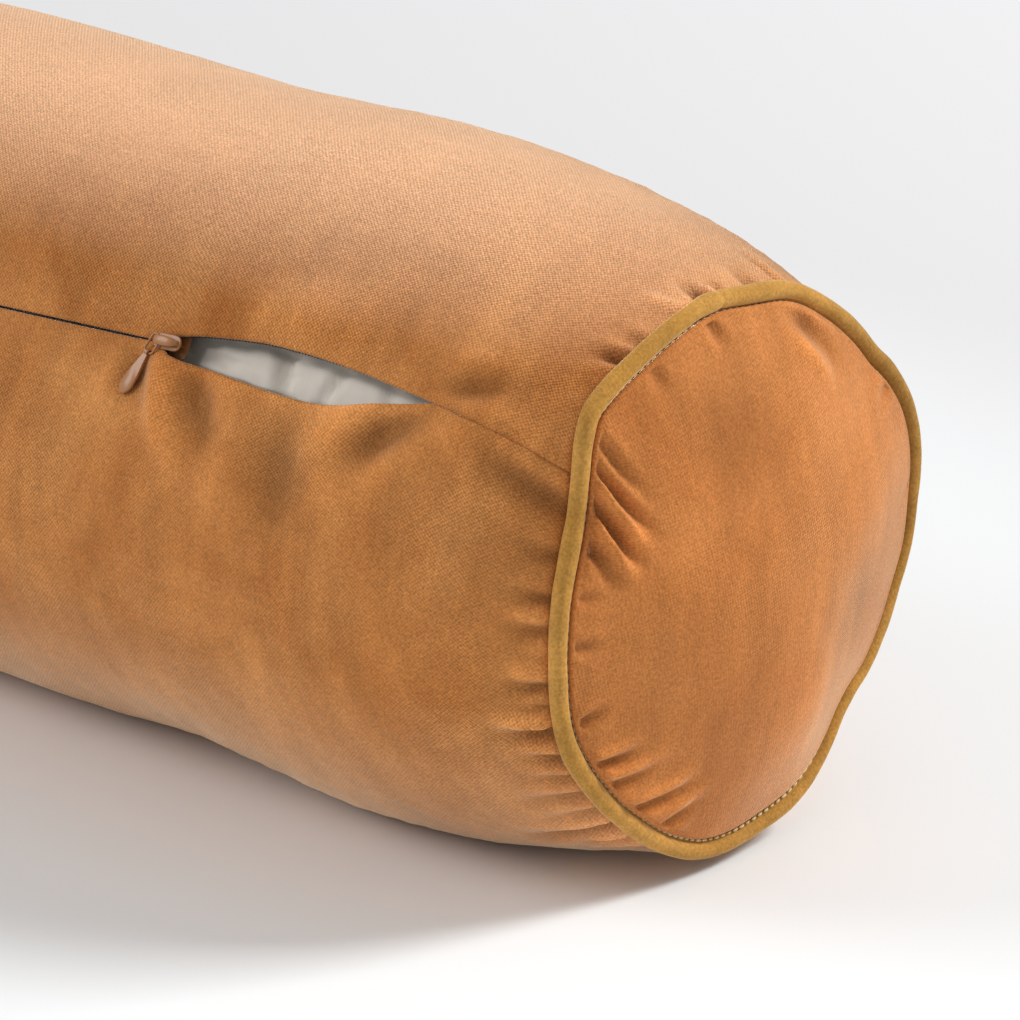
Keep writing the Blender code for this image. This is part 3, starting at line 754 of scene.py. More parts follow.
ZIP_CREASES = [
    Crease((48, 34.0), (78, 19.0), 5.0, -1.8, False), Crease((56, 33.0), (92, 20.0), 5.0, 1.0, False),
    Crease((150, 31.0), (134, 12.0), 4.2, 1.5, False), Crease((137, 30.0), (116, 15.0), 5.0, -1.3, False),
    Crease((160, 30.0), (152, 20.0), 4.5, -1.1, False), Crease((98, 27.0), (84, 4.0), 9.0, -1.2, False),
    Crease((47, 37.5), (20, 44.0), 4.0, -1.0, False), Crease((44, 33.5), (22, 27.0), 4.0, 0.8, False),
    Crease((120, 42.0), (70, 47.0), 9.0, 0.9, False),
]
# Broad swellings: (mm in from the near seam, degrees of turn), half length, half width, height, all in mm.
SWELLINGS = [
    ((103, -66), 24, 34, 1.8), ((172, -60), 30, 40, -2.4), ((200, 112), 38, 45, -1.6), ((330, 100), 60, 60, 2.6),
    ((140, 5), 34, 24, -1.0), ((215, -5), 30, 26, 1.2), ((66, 62), 26, 20, 1.0), ((262, 55), 40, 30, -1.1),
    ((285, 0), 44, 34, 1.2), ((120, 75), 40, 24, 0.8), ((60, -10), 22, 18, 0.8), ((400, 40), 50, 40, -1.4),
    ((480, -20), 46, 40, 1.4), ((420, 170), 55, 40, 1.4), ((200, 200), 60, 46, 1.5), ((90, 180), 40, 40, -1.2),
]


@dataclass(frozen=True)
class PillowForm:
    """The stuffed shape: how far the cover's outer face stands from the pillow's axis."""

    full: float = 103.4 * MM
    tucked: float = 1.2 * MM  # the panel's edge lies this far inside the piping's middle

    def seam_radius(self, end: End, turn: np.ndarray) -> np.ndarray:
        """Radius of the piping's middle round an end seam."""
        return round_wave(turn, SEAM_WAVES[end]) * MM

    def past_zip(self, x: np.ndarray) -> np.ndarray:
        """How far on from the zip's end to the end seam, 0 to 1."""
        return np.clip((np.abs(x) - ZIP_REACH) / (SEAM_X - ZIP_REACH), 0, 1)

    def zip_turn(self, x: np.ndarray) -> np.ndarray:
        """Turn of the zip line, and of the long seam beyond it, which drifts down to the end seam."""
        return ZIP_TURN + np.arctan(x * ZIP_SLANT / ZIP_RADIUS) - 0.058 * self.past_zip(x)**1.1

    def zip_radius(self, x: np.ndarray) -> np.ndarray:
        """Distance of the straight zip line from the axis."""
        return np.hypot(ZIP_RADIUS, x * ZIP_SLANT)

    def radius(self, x: np.ndarray, turn: np.ndarray) -> np.ndarray:
        """Radius of the cover's outer face before any folds.

        Args:
            x: Places along the pillow.
            turn: Angles round it.

        Returns:
            The radius at each place.
        """
        end = np.where(x > 0, 1, -1)
        inward = np.clip(SEAM_X - np.abs(x), 0, None)
        seam = np.where(end > 0, self.seam_radius(End.NEAR, turn), self.seam_radius(End.FAR, turn)) - self.tucked
        mean = SEAM_RADIUS - self.tucked
        top = self.full - (self.full - mean) * np.clip(1 - inward / 0.150, 0, 1) ** 2
        low = self.full + 1 * MM - (self.full + 1 * MM - mean) * np.clip(1 - inward / 0.088, 0, 1) ** 2.4
        share = 0.5 + 0.5 * np.cos(turn_gap(turn, math.radians(116)))
        plain = low + (top - low) * share
        plain = plain + (seam - mean) * np.exp(-inward / (20 * MM)) * np.clip(1 - inward / 0.11, 0, 1)
        past = self.past_zip(x)
        line = self.zip_radius(x) * (1 - past**1.4) + plain * past**1.4
        away = np.abs(turn_gap(turn, self.zip_turn(x)))
        return plain + (line - plain) * np.clip(1 - away / math.radians(30), 0, 1) ** 1.8

    def creases(self, x: np.ndarray, turn: np.ndarray, swellings: bool = True) -> np.ndarray:
        """Height of all the folds.

        Args:
            x: Places along the pillow.
            turn: Angles round it.
            swellings: Counts the broad swellings too.

        Returns:
            The height at each place, in metres.
        """
        near, far = SEAM_X - x, SEAM_X + x
        total = np.zeros(np.broadcast(x, turn).shape)
        for (inward, degrees), long, wide, lift in SWELLINGS if swellings else []:
            aside = turn_gap(turn, math.radians(degrees)) * 0.1 / MM
            total += lift * MM * bell(near / MM - inward, long) * bell(aside, wide)
        for crease in NEAR_CREASES:
            total += crease.height(near, turn, 0.085)
        for crease in ZIP_CREASES:
            total += crease.height(near, turn, 0.098)
        for crease in self.loose_creases(End.NEAR):
            total += crease.height(near, turn, 0.085)
        for crease in self.loose_creases(End.FAR):
            total += crease.height(far, turn, 0.085)
        guard = np.minimum(np.abs(turn_gap(turn, self.zip_turn(x))) * 0.097 / (5 * MM), 1.0)
        return total * np.where(np.abs(x) < ZIP_REACH + 3 * MM, guard, 0.35 + 0.65 * guard)

    def loose_creases(self, end: End) -> list[Crease]:
        """Small gathers along an end seam where none is listed.

        Args:
            end: Whose seam.

        Returns:
            The gathers.
        """
        rng = np.random.default_rng(7 if end is End.NEAR else 11)
        first, last = (108, 292) if end is End.NEAR else (45, 382)
        turns, at = [], float(first)
        while at < last:
            turns.append(at)
            at += rng.uniform(4.5, 9.5)
        made = []
        for turn in turns:
            length, lean = rng.uniform(9, 24), rng.uniform(-2.5, 2.5)
            lift = -rng.uniform(0.6, 1.7) if rng.random() < 0.75 else rng.uniform(0.4, 1.0)
            made.append(Crease((0, turn), (length, turn + lean), rng.uniform(1.7, 2.6), lift))
        return made

    def place(self, x: np.ndarray, turn: np.ndarray, radius: np.ndarray, inset: float = 0.0) -> np.ndarray:
        """Points at a radius about the axis, flattened where they meet the floor.

        Args:
            x: Places along the pillow.
            turn: Angles round it.
            radius: Distances from the axis.
            inset: How far inside the cover's outer face the points are, so how far off the floor.

        Returns:
            The points.
        """
        past = self.past_zip(x) ** 1.6
        height = AXIS_HEIGHT - SEAM_DROP * past + (radius - inset) * np.sin(turn)
        height = inset + np.logaddexp(0, (height - inset) / (0.8 * MM)) * 0.8 * MM - 0.3 * MM * (inset == 0)
        height = np.maximum(height, inset)
        y = -(radius - inset) * np.cos(turn)
        return np.stack(np.broadcast_arrays(x, y, height), -1)


FORM = PillowForm()

SLIT_EDGES = {  # (millimetres along the zip, millimetres from the zip line)
    Side.UPPER: [(SLIT_FROM, 0.14), (132, 0.3), (134.5, 0.9), (137, 2.0), (141, 3.0), (156, 4.9), (171, 5.8),
                 (184, 5.5), (198, 4.8), (213, 3.4), (226, 1.7), (236, 0.4), (SLIT_TO, 0.1)],
    Side.LOWER: [(SLIT_FROM, 0.14), (132, 0.3), (134.5, 1.1), (137, 2.5), (141, 3.5), (154, 4.9), (170, 6.2),
                 (185, 7.5), (196, 7.8), (207, 6.7), (221, 4.2), (233, 1.4), (237, 0.4), (SLIT_TO, 0.1)],
}


def lip(x: np.ndarray, side: Side) -> np.ndarray:
    """Distance of the slit's edge from the zip line: sewn, closed by the zip, or gaping.

    Args:
        x: Places along the zip.
        side: Which edge.

    Returns:
        The distance at each place.
    """
    closed = np.where(np.abs(x) < ZIP_REACH, 0.14 * MM, 0.05 * MM)
    gape = through(SLIT_EDGES[side], np.clip(x / MM, SLIT_FROM, SLIT_TO)) * MM
    return np.where((x > SLIT_FROM * MM) & (x < ZIP_REACH), np.maximum(gape, 0.12 * MM), closed)


@dataclass(frozen=True)
class Piece:
    """What a piece is called, its slot in the record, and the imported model's nodes that it stands for."""

    name: str
    slot: str
    replaces: tuple[str, ...]

    def dress(self, obj: bpy.types.Object, material: bpy.types.Material, body: str = "pillow") -> bpy.types.Object:
        """Gives a piece its material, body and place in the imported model.

        Args:
            obj: The finished piece.
            material: Its finish.
            body: The body it moves with.

        Returns:
            The same piece.
        """
        obj.name = self.name
        obj.data.name = self.name
        obj.data.materials.clear()
        obj.data.materials.append(material)
        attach(obj, body)
        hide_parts(*self.replaces)
        log.info("%s: %d faces", self.name, len(obj.data.polygons))
        return obj


@dataclass
class BodyPanel:
    """The long rectangle of velvet, rolled into a tube whose two edges meet at the zip line."""

    roll: float = 0.95 * MM  # outside radius of the folded edge
    hem: float = 9 * MM
    cloth_radius: float = 100 * MM  # the flat cloth is as wide as this circle is long
    coarse: int = 2  # the simulated cloth has every second row and column
    frames: int = 16
    ease_in: float = 0.07  # the cloth is this much wider than the seam it is gathered into
    most: float = 3.5 * MM  # that a simulated fold may move the cloth
    deepest: float = 1.6 * MM  # that it may sink
    held_near_zip: float = 12 * MM  # the tapes and the sewn seam hold the cloth still as far as this
    piece: Piece = Piece("cover_body_panel", "velvet", ("body_panel",))

    def rows(self) -> np.ndarray:
        """Distances in from the near end seam of the panel's rows."""
        return graded([(3.2, 40), (40, 172), (172, 530), (530, 566.8)], [1.35, 2.5, 5.2, 2.4]) * MM

    def columns(self) -> np.ndarray:
        """Angles from the zip line of the panel's columns, all the way round."""
        return np.radians(graded([(0, 5), (5, 96), (96, 256), (256, 355), (355, 360)], [0.7, 1.08, 2.8, 1.08, 0.7]))

    def sheet(self) -> bpy.types.Object:
        """The panel's outer face, with folded edges along the zip and allowances at its two ends.

        Returns:
            The sheet, still without thickness.
        """
        x = (SEAM_X - self.rows())[:, None]
        flat = self.columns()[None, :]
        radius = FORM.zip_radius(x)
        up = (lip(x, Side.UPPER) + self.roll) / radius
        down = (lip(x, Side.LOWER) + self.roll) / radius
        spread = math.radians(42)
        away = flat + up * (1 - ease(flat / spread)) - down * (1 - ease((TAU - flat) / spread))
        turn = FORM.zip_turn(x) + away
        from_zip = np.abs(turn_gap(turn, FORM.zip_turn(x))) * radius
        held = ease((from_zip - self.held_near_zip) / (12 * MM))
        settled = np.maximum(self.settled(x, turn), -self.deepest) * held
        reach = FORM.radius(x, turn) + FORM.creases(x, turn) + settled
        # The fold heights are stored for the finish's painted shade in furrows and painted highlight on ridges.
        folds = FORM.creases(x, turn, swellings=False) + settled
        gaping = np.clip(lip(x, Side.LOWER) / (3 * MM), 0, 1)
        folds = folds + 1.1 * MM * gaping * bell((TAU - flat) * radius, 3 * MM)  # painted highlight along the gaping lower lip's hem
        face = FORM.place(np.broadcast_to(x, turn.shape), turn, reach)
        cloth = np.stack(np.broadcast_arrays(x, flat * self.cloth_radius), -1)

        face, cloth = self.fold_edges(x, face, cloth)
        face, cloth = self.tuck_ends(face, cloth)
        obj = grid_mesh(self.piece.name, face, cloth)
        mark_painted_shading(obj, np.pad(folds, ((4, 4), (7, 7))))
        return obj

    def settled(self, x: np.ndarray, turn: np.ndarray) -> np.ndarray:
        """Lets the cloth settle over the filling by simulation.

        The cloth is cut wider than the end seams it is gathered into, so that it buckles into small
        folds beside them. Only the folds are kept: the form itself stays.

        Args:
            x: Rows of the panel.
            turn: Rows by columns, the turn of each point.

        Returns:
            How far the cloth has moved outwards at each point, in metres.
        """
        rows = np.unique(np.append(np.arange(0, x.shape[0], self.coarse), x.shape[0] - 1))
        columns = np.unique(np.append(np.arange(0, turn.shape[1], self.coarse), turn.shape[1] - 1))
        part_x, part_turn = np.broadcast_to(x, turn.shape)[np.ix_(rows, columns)], turn[np.ix_(rows, columns)]
        rng = np.random.default_rng(17)
        formed = FORM.radius(part_x, part_turn)
        start = FORM.place(part_x, part_turn, formed + rng.normal(0, 0.12 * MM, part_turn.shape))
        sheet = self.cut_sheet(start, SEAM_X - np.abs(part_x))
        self.run_cloth(sheet)
        graph = bpy.context.evaluated_depsgraph_get()
        after = np.empty(start.size, dtype=np.float32)
        sheet.evaluated_get(graph).data.vertices.foreach_get("co", after)
        bpy.context.scene.frame_set(1)
        bpy.data.objects.remove(sheet)
        moved = after.reshape(start.shape) - FORM.place(part_x, part_turn, formed)
        out = start - np.stack([start[..., 0], 0 * part_x, 0 * part_x + AXIS_HEIGHT], -1)
        out /= np.linalg.norm(out, axis=-1, keepdims=True)
        lift = (moved * out).sum(-1)
        log.info("cloth settled: %.1f to %.1f mm", lift.min() / MM, lift.max() / MM)
        smooth = lift
        for _ in range(8):
            padded = np.pad(smooth, 1, mode="edge")
            smooth = (padded[2:, 1:-1] + padded[:-2, 1:-1] + padded[1:-1, 2:] + padded[1:-1, :-2]) / 4
        folds = np.clip(lift - smooth, -self.most, self.most)
        folds[:, :2] = folds[:, -2:] = 0
        wide = np.stack([np.interp(np.arange(turn.shape[1]), columns, row) for row in folds])
        return np.stack([np.interp(np.arange(x.shape[0]), rows, column) for column in wide.T], 1)

    def cut_sheet(self, start: np.ndarray, inward: np.ndarray) -> bpy.types.Object:
        """Makes the cloth to simulate, cut wider than its form near the end seams and held at its edges.

        Args:
            start: Rows by columns by 3, its points on the form.
            inward: How far each is from its end seam.

        Returns:
            The cloth, with its cut as a shape key and its hold as a vertex group.
        """
        sheet = grid_mesh("settling_cloth", start, start[..., :2])
        hub = np.array([0, 0, AXIS_HEIGHT])
        spread = 1 + self.ease_in * np.exp(-inward / (26 * MM))
        cut = start.copy()
        cut[..., 1:] = hub[1:] + (start[..., 1:] - hub[1:]) * spread[..., None]
        sheet.shape_key_add(name="formed")
        key = sheet.shape_key_add(name="cut")
        key.data.foreach_set("co", cut.astype(np.float32).ravel())
        held = np.full(inward.shape, 0.03)
        held[[0, -1]] = 1
        held[:, [0, -1]] = 1
        group = sheet.vertex_groups.new(name="held")
        for i, weight in enumerate(held.ravel()):
            group.add([i], float(weight), "REPLACE")
        return sheet

    def run_cloth(self, sheet: bpy.types.Object) -> None:
        """Lets the cloth settle under the filling's pressure, as light velvet that folds rather than stretches.

        Args:
            sheet: The cloth.
        """
        cloth = sheet.modifiers.new("cloth", "CLOTH")
        rules = cloth.settings
        rules.quality = 5
        rules.mass = 0.25
        rules.tension_stiffness = rules.compression_stiffness = 18
        rules.shear_stiffness = 6
        rules.bending_stiffness = 0.35
        rules.air_damping = 2
        rules.use_pressure = True
        rules.uniform_pressure_force = 1.5
        rules.effector_weights.gravity = 0
        rules.vertex_group_mass = "held"
        rules.pin_stiffness = 1
        rules.rest_shape_key = sheet.data.shape_keys.key_blocks["cut"]
        cloth.point_cache.frame_start = 1
        cloth.point_cache.frame_end = self.frames
        for step in range(1, self.frames + 1):
            bpy.context.scene.frame_set(step)

    def fold_edges(self, x: np.ndarray, face: np.ndarray, cloth: np.ndarray) -> tuple[np.ndarray, np.ndarray]:
        """Folds the cloth back under itself along both edges of the slit.

        Args:
            x: Rows of the panel.
            face: Rows by columns by 3, the outer face.
            cloth: The same points on the flat cloth.

        Returns:
            Both, with the folded columns added.
        """
        sides = []
        for side, edge, inner in ((Side.UPPER, 0, 3), (Side.LOWER, -1, -4)):
            away = face[:, edge] - face[:, inner]
            away /= np.linalg.norm(away, axis=1, keepdims=True)
            along = np.gradient(face[:, edge], axis=0)
            down = np.cross(along, away) * (-1 if edge == 0 else 1)
            down /= np.linalg.norm(down, axis=1, keepdims=True)
            points, run = [], []
            for angle in np.radians([36, 72, 108, 144, 180]):
                points.append(face[:, edge] + away * self.roll * math.sin(angle)
                              + down * self.roll * (1 - math.cos(angle)))
                run.append(self.roll * angle)
            for back in (0.3, 1.0):
                offset = side.value * (lip(x, side) + self.roll + self.hem * back)
                turn = FORM.zip_turn(x) + offset / FORM.zip_radius(x)
                under = FORM.radius(x, turn) + FORM.creases(x, turn) - 2 * self.roll
                points.append(FORM.place(x, turn, under)[:, 0])
                run.append(self.roll * math.pi + self.hem * back)
            points, run = np.stack(points, 1), np.array(run)
            flat = np.repeat(cloth[:, edge][:, None], len(run), 1)
            flat[..., 1] += run * (-1 if edge == 0 else 1)
            sides.append((points, flat))
        (first, first_flat), (last, last_flat) = sides
        return (np.concatenate([first[:, ::-1], face, last], 1),
                np.concatenate([first_flat[:, ::-1], cloth, last_flat], 1))

    def tuck_ends(self, face: np.ndarray, cloth: np.ndarray) -> tuple[np.ndarray, np.ndarray]:
        """Turns the cloth in under the piping at both ends, as the seam allowance.

        Args:
            face: Rows by columns by 3, from the near end to the far one.
            cloth: The same points on the flat cloth.

        Returns:
            Both, with the tucked rows added.
        """
        for end in End:
            edge = 0 if end is End.NEAR else -1
            row = face[edge]
            hub = np.array([0, 0, SEAM_HEIGHT])
            arm = row * [0, 1, 1] - hub
            length = np.linalg.norm(arm, axis=1, keepdims=True)
            arm /= length
            ring = FORM.seam_radius(end, np.arctan2(arm[:, 2], -arm[:, 1]))[:, None]
            lower = np.clip(ring - 0.6 * MM - length, 0, None)  # the hemmed edges stay as far under
            made, flat = [], []
            for inward, drop in ((2.7, 2.2), (1.8, 3.1), (1.1, 4.2), (1.05, 9.0)):
                point = hub + arm * (ring - drop * MM - lower)
                point[:, 0] = end.value * (SEAM_X - inward * MM)
                made.append(point)
                step = cloth[edge].copy()
                step[:, 0] += end.value * (drop + 1) * MM
                flat.append(step)
            if end is End.NEAR:
                face = np.concatenate([np.stack(made[::-1]), face])
                cloth = np.concatenate([np.stack(flat[::-1]), cloth])
            else:
                face = np.concatenate([face, np.stack(made)])
                cloth = np.concatenate([cloth, np.stack(flat)])
        return face, cloth

    def build(self, finishes: Finishes) -> bpy.types.Object:
        """Makes the finished panel.

        Args:
            finishes: The pillow's materials.

        Returns:
            The panel.
        """
        obj = self.sheet()
        thicken(obj, PILE)
        self.piece.dress(obj, finishes.velvet)
        return obj


NEAR_DISC_CREASES = [
    Crease((0, 41.0), (17, 36.0), 1.9, -0.8), Crease((0, 36.8), (20, 28.0), 1.8, -1.1),
    Crease((0, 34.0), (20, 23.0), 2.2, 0.9), Crease((0, 30.4), (18, 17.0), 1.7, -1.2),
    Crease((0, 26.6), (17, 14.0), 2.0, 0.8), Crease((0, 23.0), (13, 10.0), 1.8, -0.7),
    Crease((3, 102), (10, 126), 2.8, -1.2, False), Crease((8, 104), (15, 124), 4.0, 0.5, False),
    Crease((0, -30.3), (14, -33.4), 1.9, 0.5), Crease((0.5, -33.2), (12, -38.6), 1.8, -0.9),
    Crease((0, -36.0), (18, -47.0), 2.2, 0.6), Crease((0, -41.0), (12, -47.0), 1.9, -0.8),
    Crease((1.5, -49.0), (18, -61.5), 2.1, 0.6), Crease((0.5, -53.0), (15, -64.0), 2.0, -0.9),
    Crease((1, -56.0), (18, -72.0), 2.1, 0.5), Crease((0, -20.5), (9, -20.2), 1.8, -0.9),
    Crease((0, -64.0), (10, -69.0), 1.8, -0.8), Crease((0, 20.0), (9, 18.6), 1.8, -0.6),
    Crease((0, -2.0), (9, -3.5), 1.8, -0.6), Crease((0, 9.0), (8, 9.6), 1.8, -0.5),
    Crease((0, 150), (9, 147), 2.0, -0.5), Crease((0, 176), (10, 178), 2.0, -0.3),
    Crease((0, 78), (9, 80), 1.8, -0.7), Crease((0, 60), (8, 59), 1.8, -0.5),
]


@dataclass
class EndPanel:
    """A velvet disc, crowned by the filling, its rim turned in behind the piping."""

    end: End
    crown: float = 19.2 * MM
    foot: float = 3.9 * MM  # the rolled rim is this far inside the piping's middle
    rim: float = 2.7 * MM  # and its face this far out from the seam's plane

    def height(self, share: np.ndarray) -> np.ndarray:
        """Height of the crown, 0 at the rim where share is 1, steep there and full in the middle."""
        return self.crown * np.clip(1 - share**2.05, 0, 1) ** 1.08

    def gap(self, turn: np.ndarray) -> np.ndarray:
        """How far the disc has pulled away from the piping, which bares the seam's stitches low on one side."""
        low = 2.1 * bell(turn_gap(turn, math.radians(257)), 0.5)
        return (low + 0.9 * bell(turn_gap(turn, math.radians(160)), 0.6)) * MM

    def folds(self, inward: np.ndarray, turn: np.ndarray) -> np.ndarray:
        """Height of the gathers round the rim.

        Args:
            inward: Distance in from the rim.
            turn: Angles round it.

        Returns:
            The height at each place, in metres.
        """
        total = np.zeros(inward.shape)
        if self.end is End.NEAR:
            chosen = NEAR_DISC_CREASES
        else:
            rng = np.random.default_rng(23)
            at = np.cumsum(rng.uniform(7, 17, 30))
            chosen = [Crease((0, t), (rng.uniform(7, 18), t + rng.uniform(-7, 7)), rng.uniform(1.8, 2.4),
                             rng.choice([-1.1, -0.8, 0.8])) for t in at[at < 356]]
        for crease in chosen:
            total += crease.height(inward, turn, 0.076)
        rolling = 0.7 * np.sin(turn * 3 + 0.6) + 0.5 * np.sin(turn * 5 - 1.1)
        calm = 1 - 0.6 * bell(turn_gap(turn, math.radians(190)), 0.8)
        return total * calm + rolling * MM * bell(inward / MM - 30, 18)

    def build(self, finishes: Finishes) -> bpy.types.Object:
        """Makes the finished disc.

        Args:
            finishes: The pillow's materials.

        Returns:
            The disc.
        """
        turn = np.linspace(0, TAU, 361)[None, :]
        ring = FORM.seam_radius(self.end, turn) - self.foot - self.gap(turn)
        share = (1 - graded([(0, 3), (3, 28), (28, 79)], [0.35, 1.3, 2.8]) / 79.0)[:-1, None]
        inward = (1 - share) * ring
        folds = self.folds(inward, turn) * ease(inward / (1.2 * MM))
        x = SEAM_X + self.height(share) + self.rim + folds
        rolled = ring + np.array([0.62, 0.9, 0.62, -0.1, -5.0])[::-1, None] * MM  # the rim, then the allowance
        rolled_x = SEAM_X + np.array([2.35, 1.72, 1.1, 0.8, 0.8])[::-1, None] * MM + 0 * turn
        radius = np.concatenate([rolled, ring * share])
        face = about_axis(self.end.value * np.concatenate([rolled_x, x]), turn, radius)[:, :-1]
        cloth = np.stack([-np.cos(turn) * radius * self.end.value, np.sin(turn) * radius], -1)

        piece = Piece(f"cover_end_panel_{self.end.label}", "velvet", (f"end_panel_{self.end.label}",))
        obj = grid_mesh(piece.name, face, cloth, closed=True)
        # The rim's gathers are stored for painted shade in their furrows and painted highlight on their ridges.
        mark_painted_shading(obj, np.pad(folds, ((5, 0), (0, 0)))[:, :-1])
        self.close_middle(obj)
        if self.end is End.NEAR:
            obj.data.flip_normals()
        thicken(obj, PILE)
        piece.dress(obj, finishes.end_velvet)
        return obj

    def close_middle(self, obj: bpy.types.Object) -> None:
        """Fills the small hole at the middle of the disc with a fan of triangles.

        Args:
            obj: The disc.
        """
        form = bmesh.new()
        form.from_mesh(obj.data)
        layer = form.loops.layers.uv["cloth"]
        hole = [e for e in form.edges if e.is_boundary and (e.verts[0].co.yz - Vector((0, SEAM_HEIGHT))).length
                < 10 * MM]
        middle = form.verts.new(sum((e.verts[0].co for e in hole), Vector()) / len(hole))
        middle.co.x += self.end.value * 0.05 * MM
        for edge in hole:
            known = edge.link_faces[0]
            a, b = edge.verts
            order = [loop.vert for loop in known.loops]
            if order[(order.index(a) + 1) % len(order)] == b:
                a, b = b, a
            fan = form.faces.new((a, b, middle))
            fan.smooth = True
            for loop in fan.loops:
                co = loop.vert.co
                loop[layer].uv = (co.y * self.end.value, co.z - SEAM_HEIGHT)
        form.to_mesh(obj.data)
        form.free()


@dataclass
class Piping:
    """A bias strip of velvet folded round a soft cord and caught in an end seam."""

    end: End
    radius: float = PIPING_RADIUS
    wall: float = 0.7 * MM  # the strip's thickness
    flange: float = 8.4 * MM  # how far in its two raw edges reach, past the seam
    lap_turn: float = 80.0  # degrees; the strip's two ends lap here

    def path(self, count: int = 720) -> tuple[np.ndarray, np.ndarray, np.ndarray]:
        """The cord's middle line.

        Args:
            count: How many points.

        Returns:
            The points, the outward direction at each, and its turn.
        """
        turn = np.linspace(0, TAU, count, endpoint=False)
        radius = FORM.seam_radius(self.end, turn)
        out = np.stack([0 * turn, -np.cos(turn), np.sin(turn)], -1)
        hub = np.array([self.end.value * SEAM_X, 0, SEAM_HEIGHT])
        return hub + out * radius[:, None], out, turn

    def swell(self, turn: np.ndarray) -> np.ndarray:
        """How much fuller or thinner than its mean the piping is.

        Args:
            turn: Angles round the seam.

        Returns:
            Its thickness at each, as a share of the mean.
        """
        rng = np.random.default_rng(3 + self.end.value)
        total = np.ones_like(turn)
        for waves in (9, 14, 23, 37, 58):
            total += 0.45 / waves**0.8 * 0.35 * np.sin(waves * turn + rng.uniform(0, TAU))
        lap = turn_gap(turn, math.radians(self.lap_turn)) * 0.085 / MM
        return total + 0.10 * bell(lap, 4.0) - 0.16 * bell(lap - 4.6, 0.9)

    def build(self, finishes: Finishes) -> None:
        """Makes the sleeve and its cord.

        Args:
            finishes: The pillow's materials.
        """
        path, out, turn = self.path()
        around = np.radians(np.linspace(-75, 255, 24))
        r, w = self.radius, self.wall
        inner = np.radians(np.linspace(262, -82, 18))
        outside = np.stack([r * np.cos(around), r * np.sin(around)], -1)
        inside = np.stack([(r - w) * np.cos(inner), (r - w) * np.sin(inner)], -1)
        feet = [(0.68 * MM, -self.flange), (0.68 * MM, -5.5 * MM)]
        back = [(-0.68 * MM, -5.5 * MM), (-0.68 * MM, -self.flange), (-0.05 * MM, -self.flange)]
        section = np.concatenate([feet, outside, back, inside, [(0.05 * MM, -self.flange)]])
        swell = self.swell(turn)[:, None, None]
        sections = np.repeat(section[None], len(path), 0)
        body = slice(2, 2 + len(outside))
        sections[:, body] *= swell
        points = tube_points(path, out, sections, True)
        lengths = np.concatenate([[0], np.cumsum(np.linalg.norm(np.diff(section, axis=0), axis=1))])
        lengths = np.append(lengths, lengths[-1] + 2 * MM)
        run = np.linspace(0, TAU * SEAM_RADIUS, len(path) + 1)
        cloth = np.stack(np.broadcast_arrays(run[:, None], lengths[None, :]), -1)
        faces = closed_both_ways(points)
        piece = Piece(f"piping_sleeve_{self.end.label}_velvet", "piping_velvet", (f"piping_sleeve_{self.end.label}",))
        obj = grid_mesh(piece.name, faces, cloth)
        # Painted shade on the piping: darker on the right, where the disc's bulge shades it, and low on the bottom.
        handled = np.append(turn, TAU)
        painted_piping_shade = 1.7 * bell(turn_gap(handled, math.radians(165)), 0.7) + bell(turn_gap(handled, math.radians(265)), 0.5)
        mark_painted_shading(obj, np.repeat(-painted_piping_shade[:, None] * MM, faces.shape[1], 1))
        fix_outwards(obj)
        piece.dress(obj, finishes.piping)

        points = closed_both_ways(tube_points(path[::3], out[::3], circle(r - w - 0.35 * MM, 12), True))
        piece = Piece(f"piping_filler_cord_{self.end.label}", "filler_cord", (f"piping_cord_{self.end.label}",))
        obj = grid_mesh(piece.name, points, points[..., :2])
        fix_outwards(obj)
        piece.dress(obj, finishes.cord)


# ---- What repeats along a path -------------------------------------------------------------------


class Repeat(Enum):
    """What is set out along a path."""

    STITCH = "stitches_along_a_path"
    COIL = "coil_along_a_path"


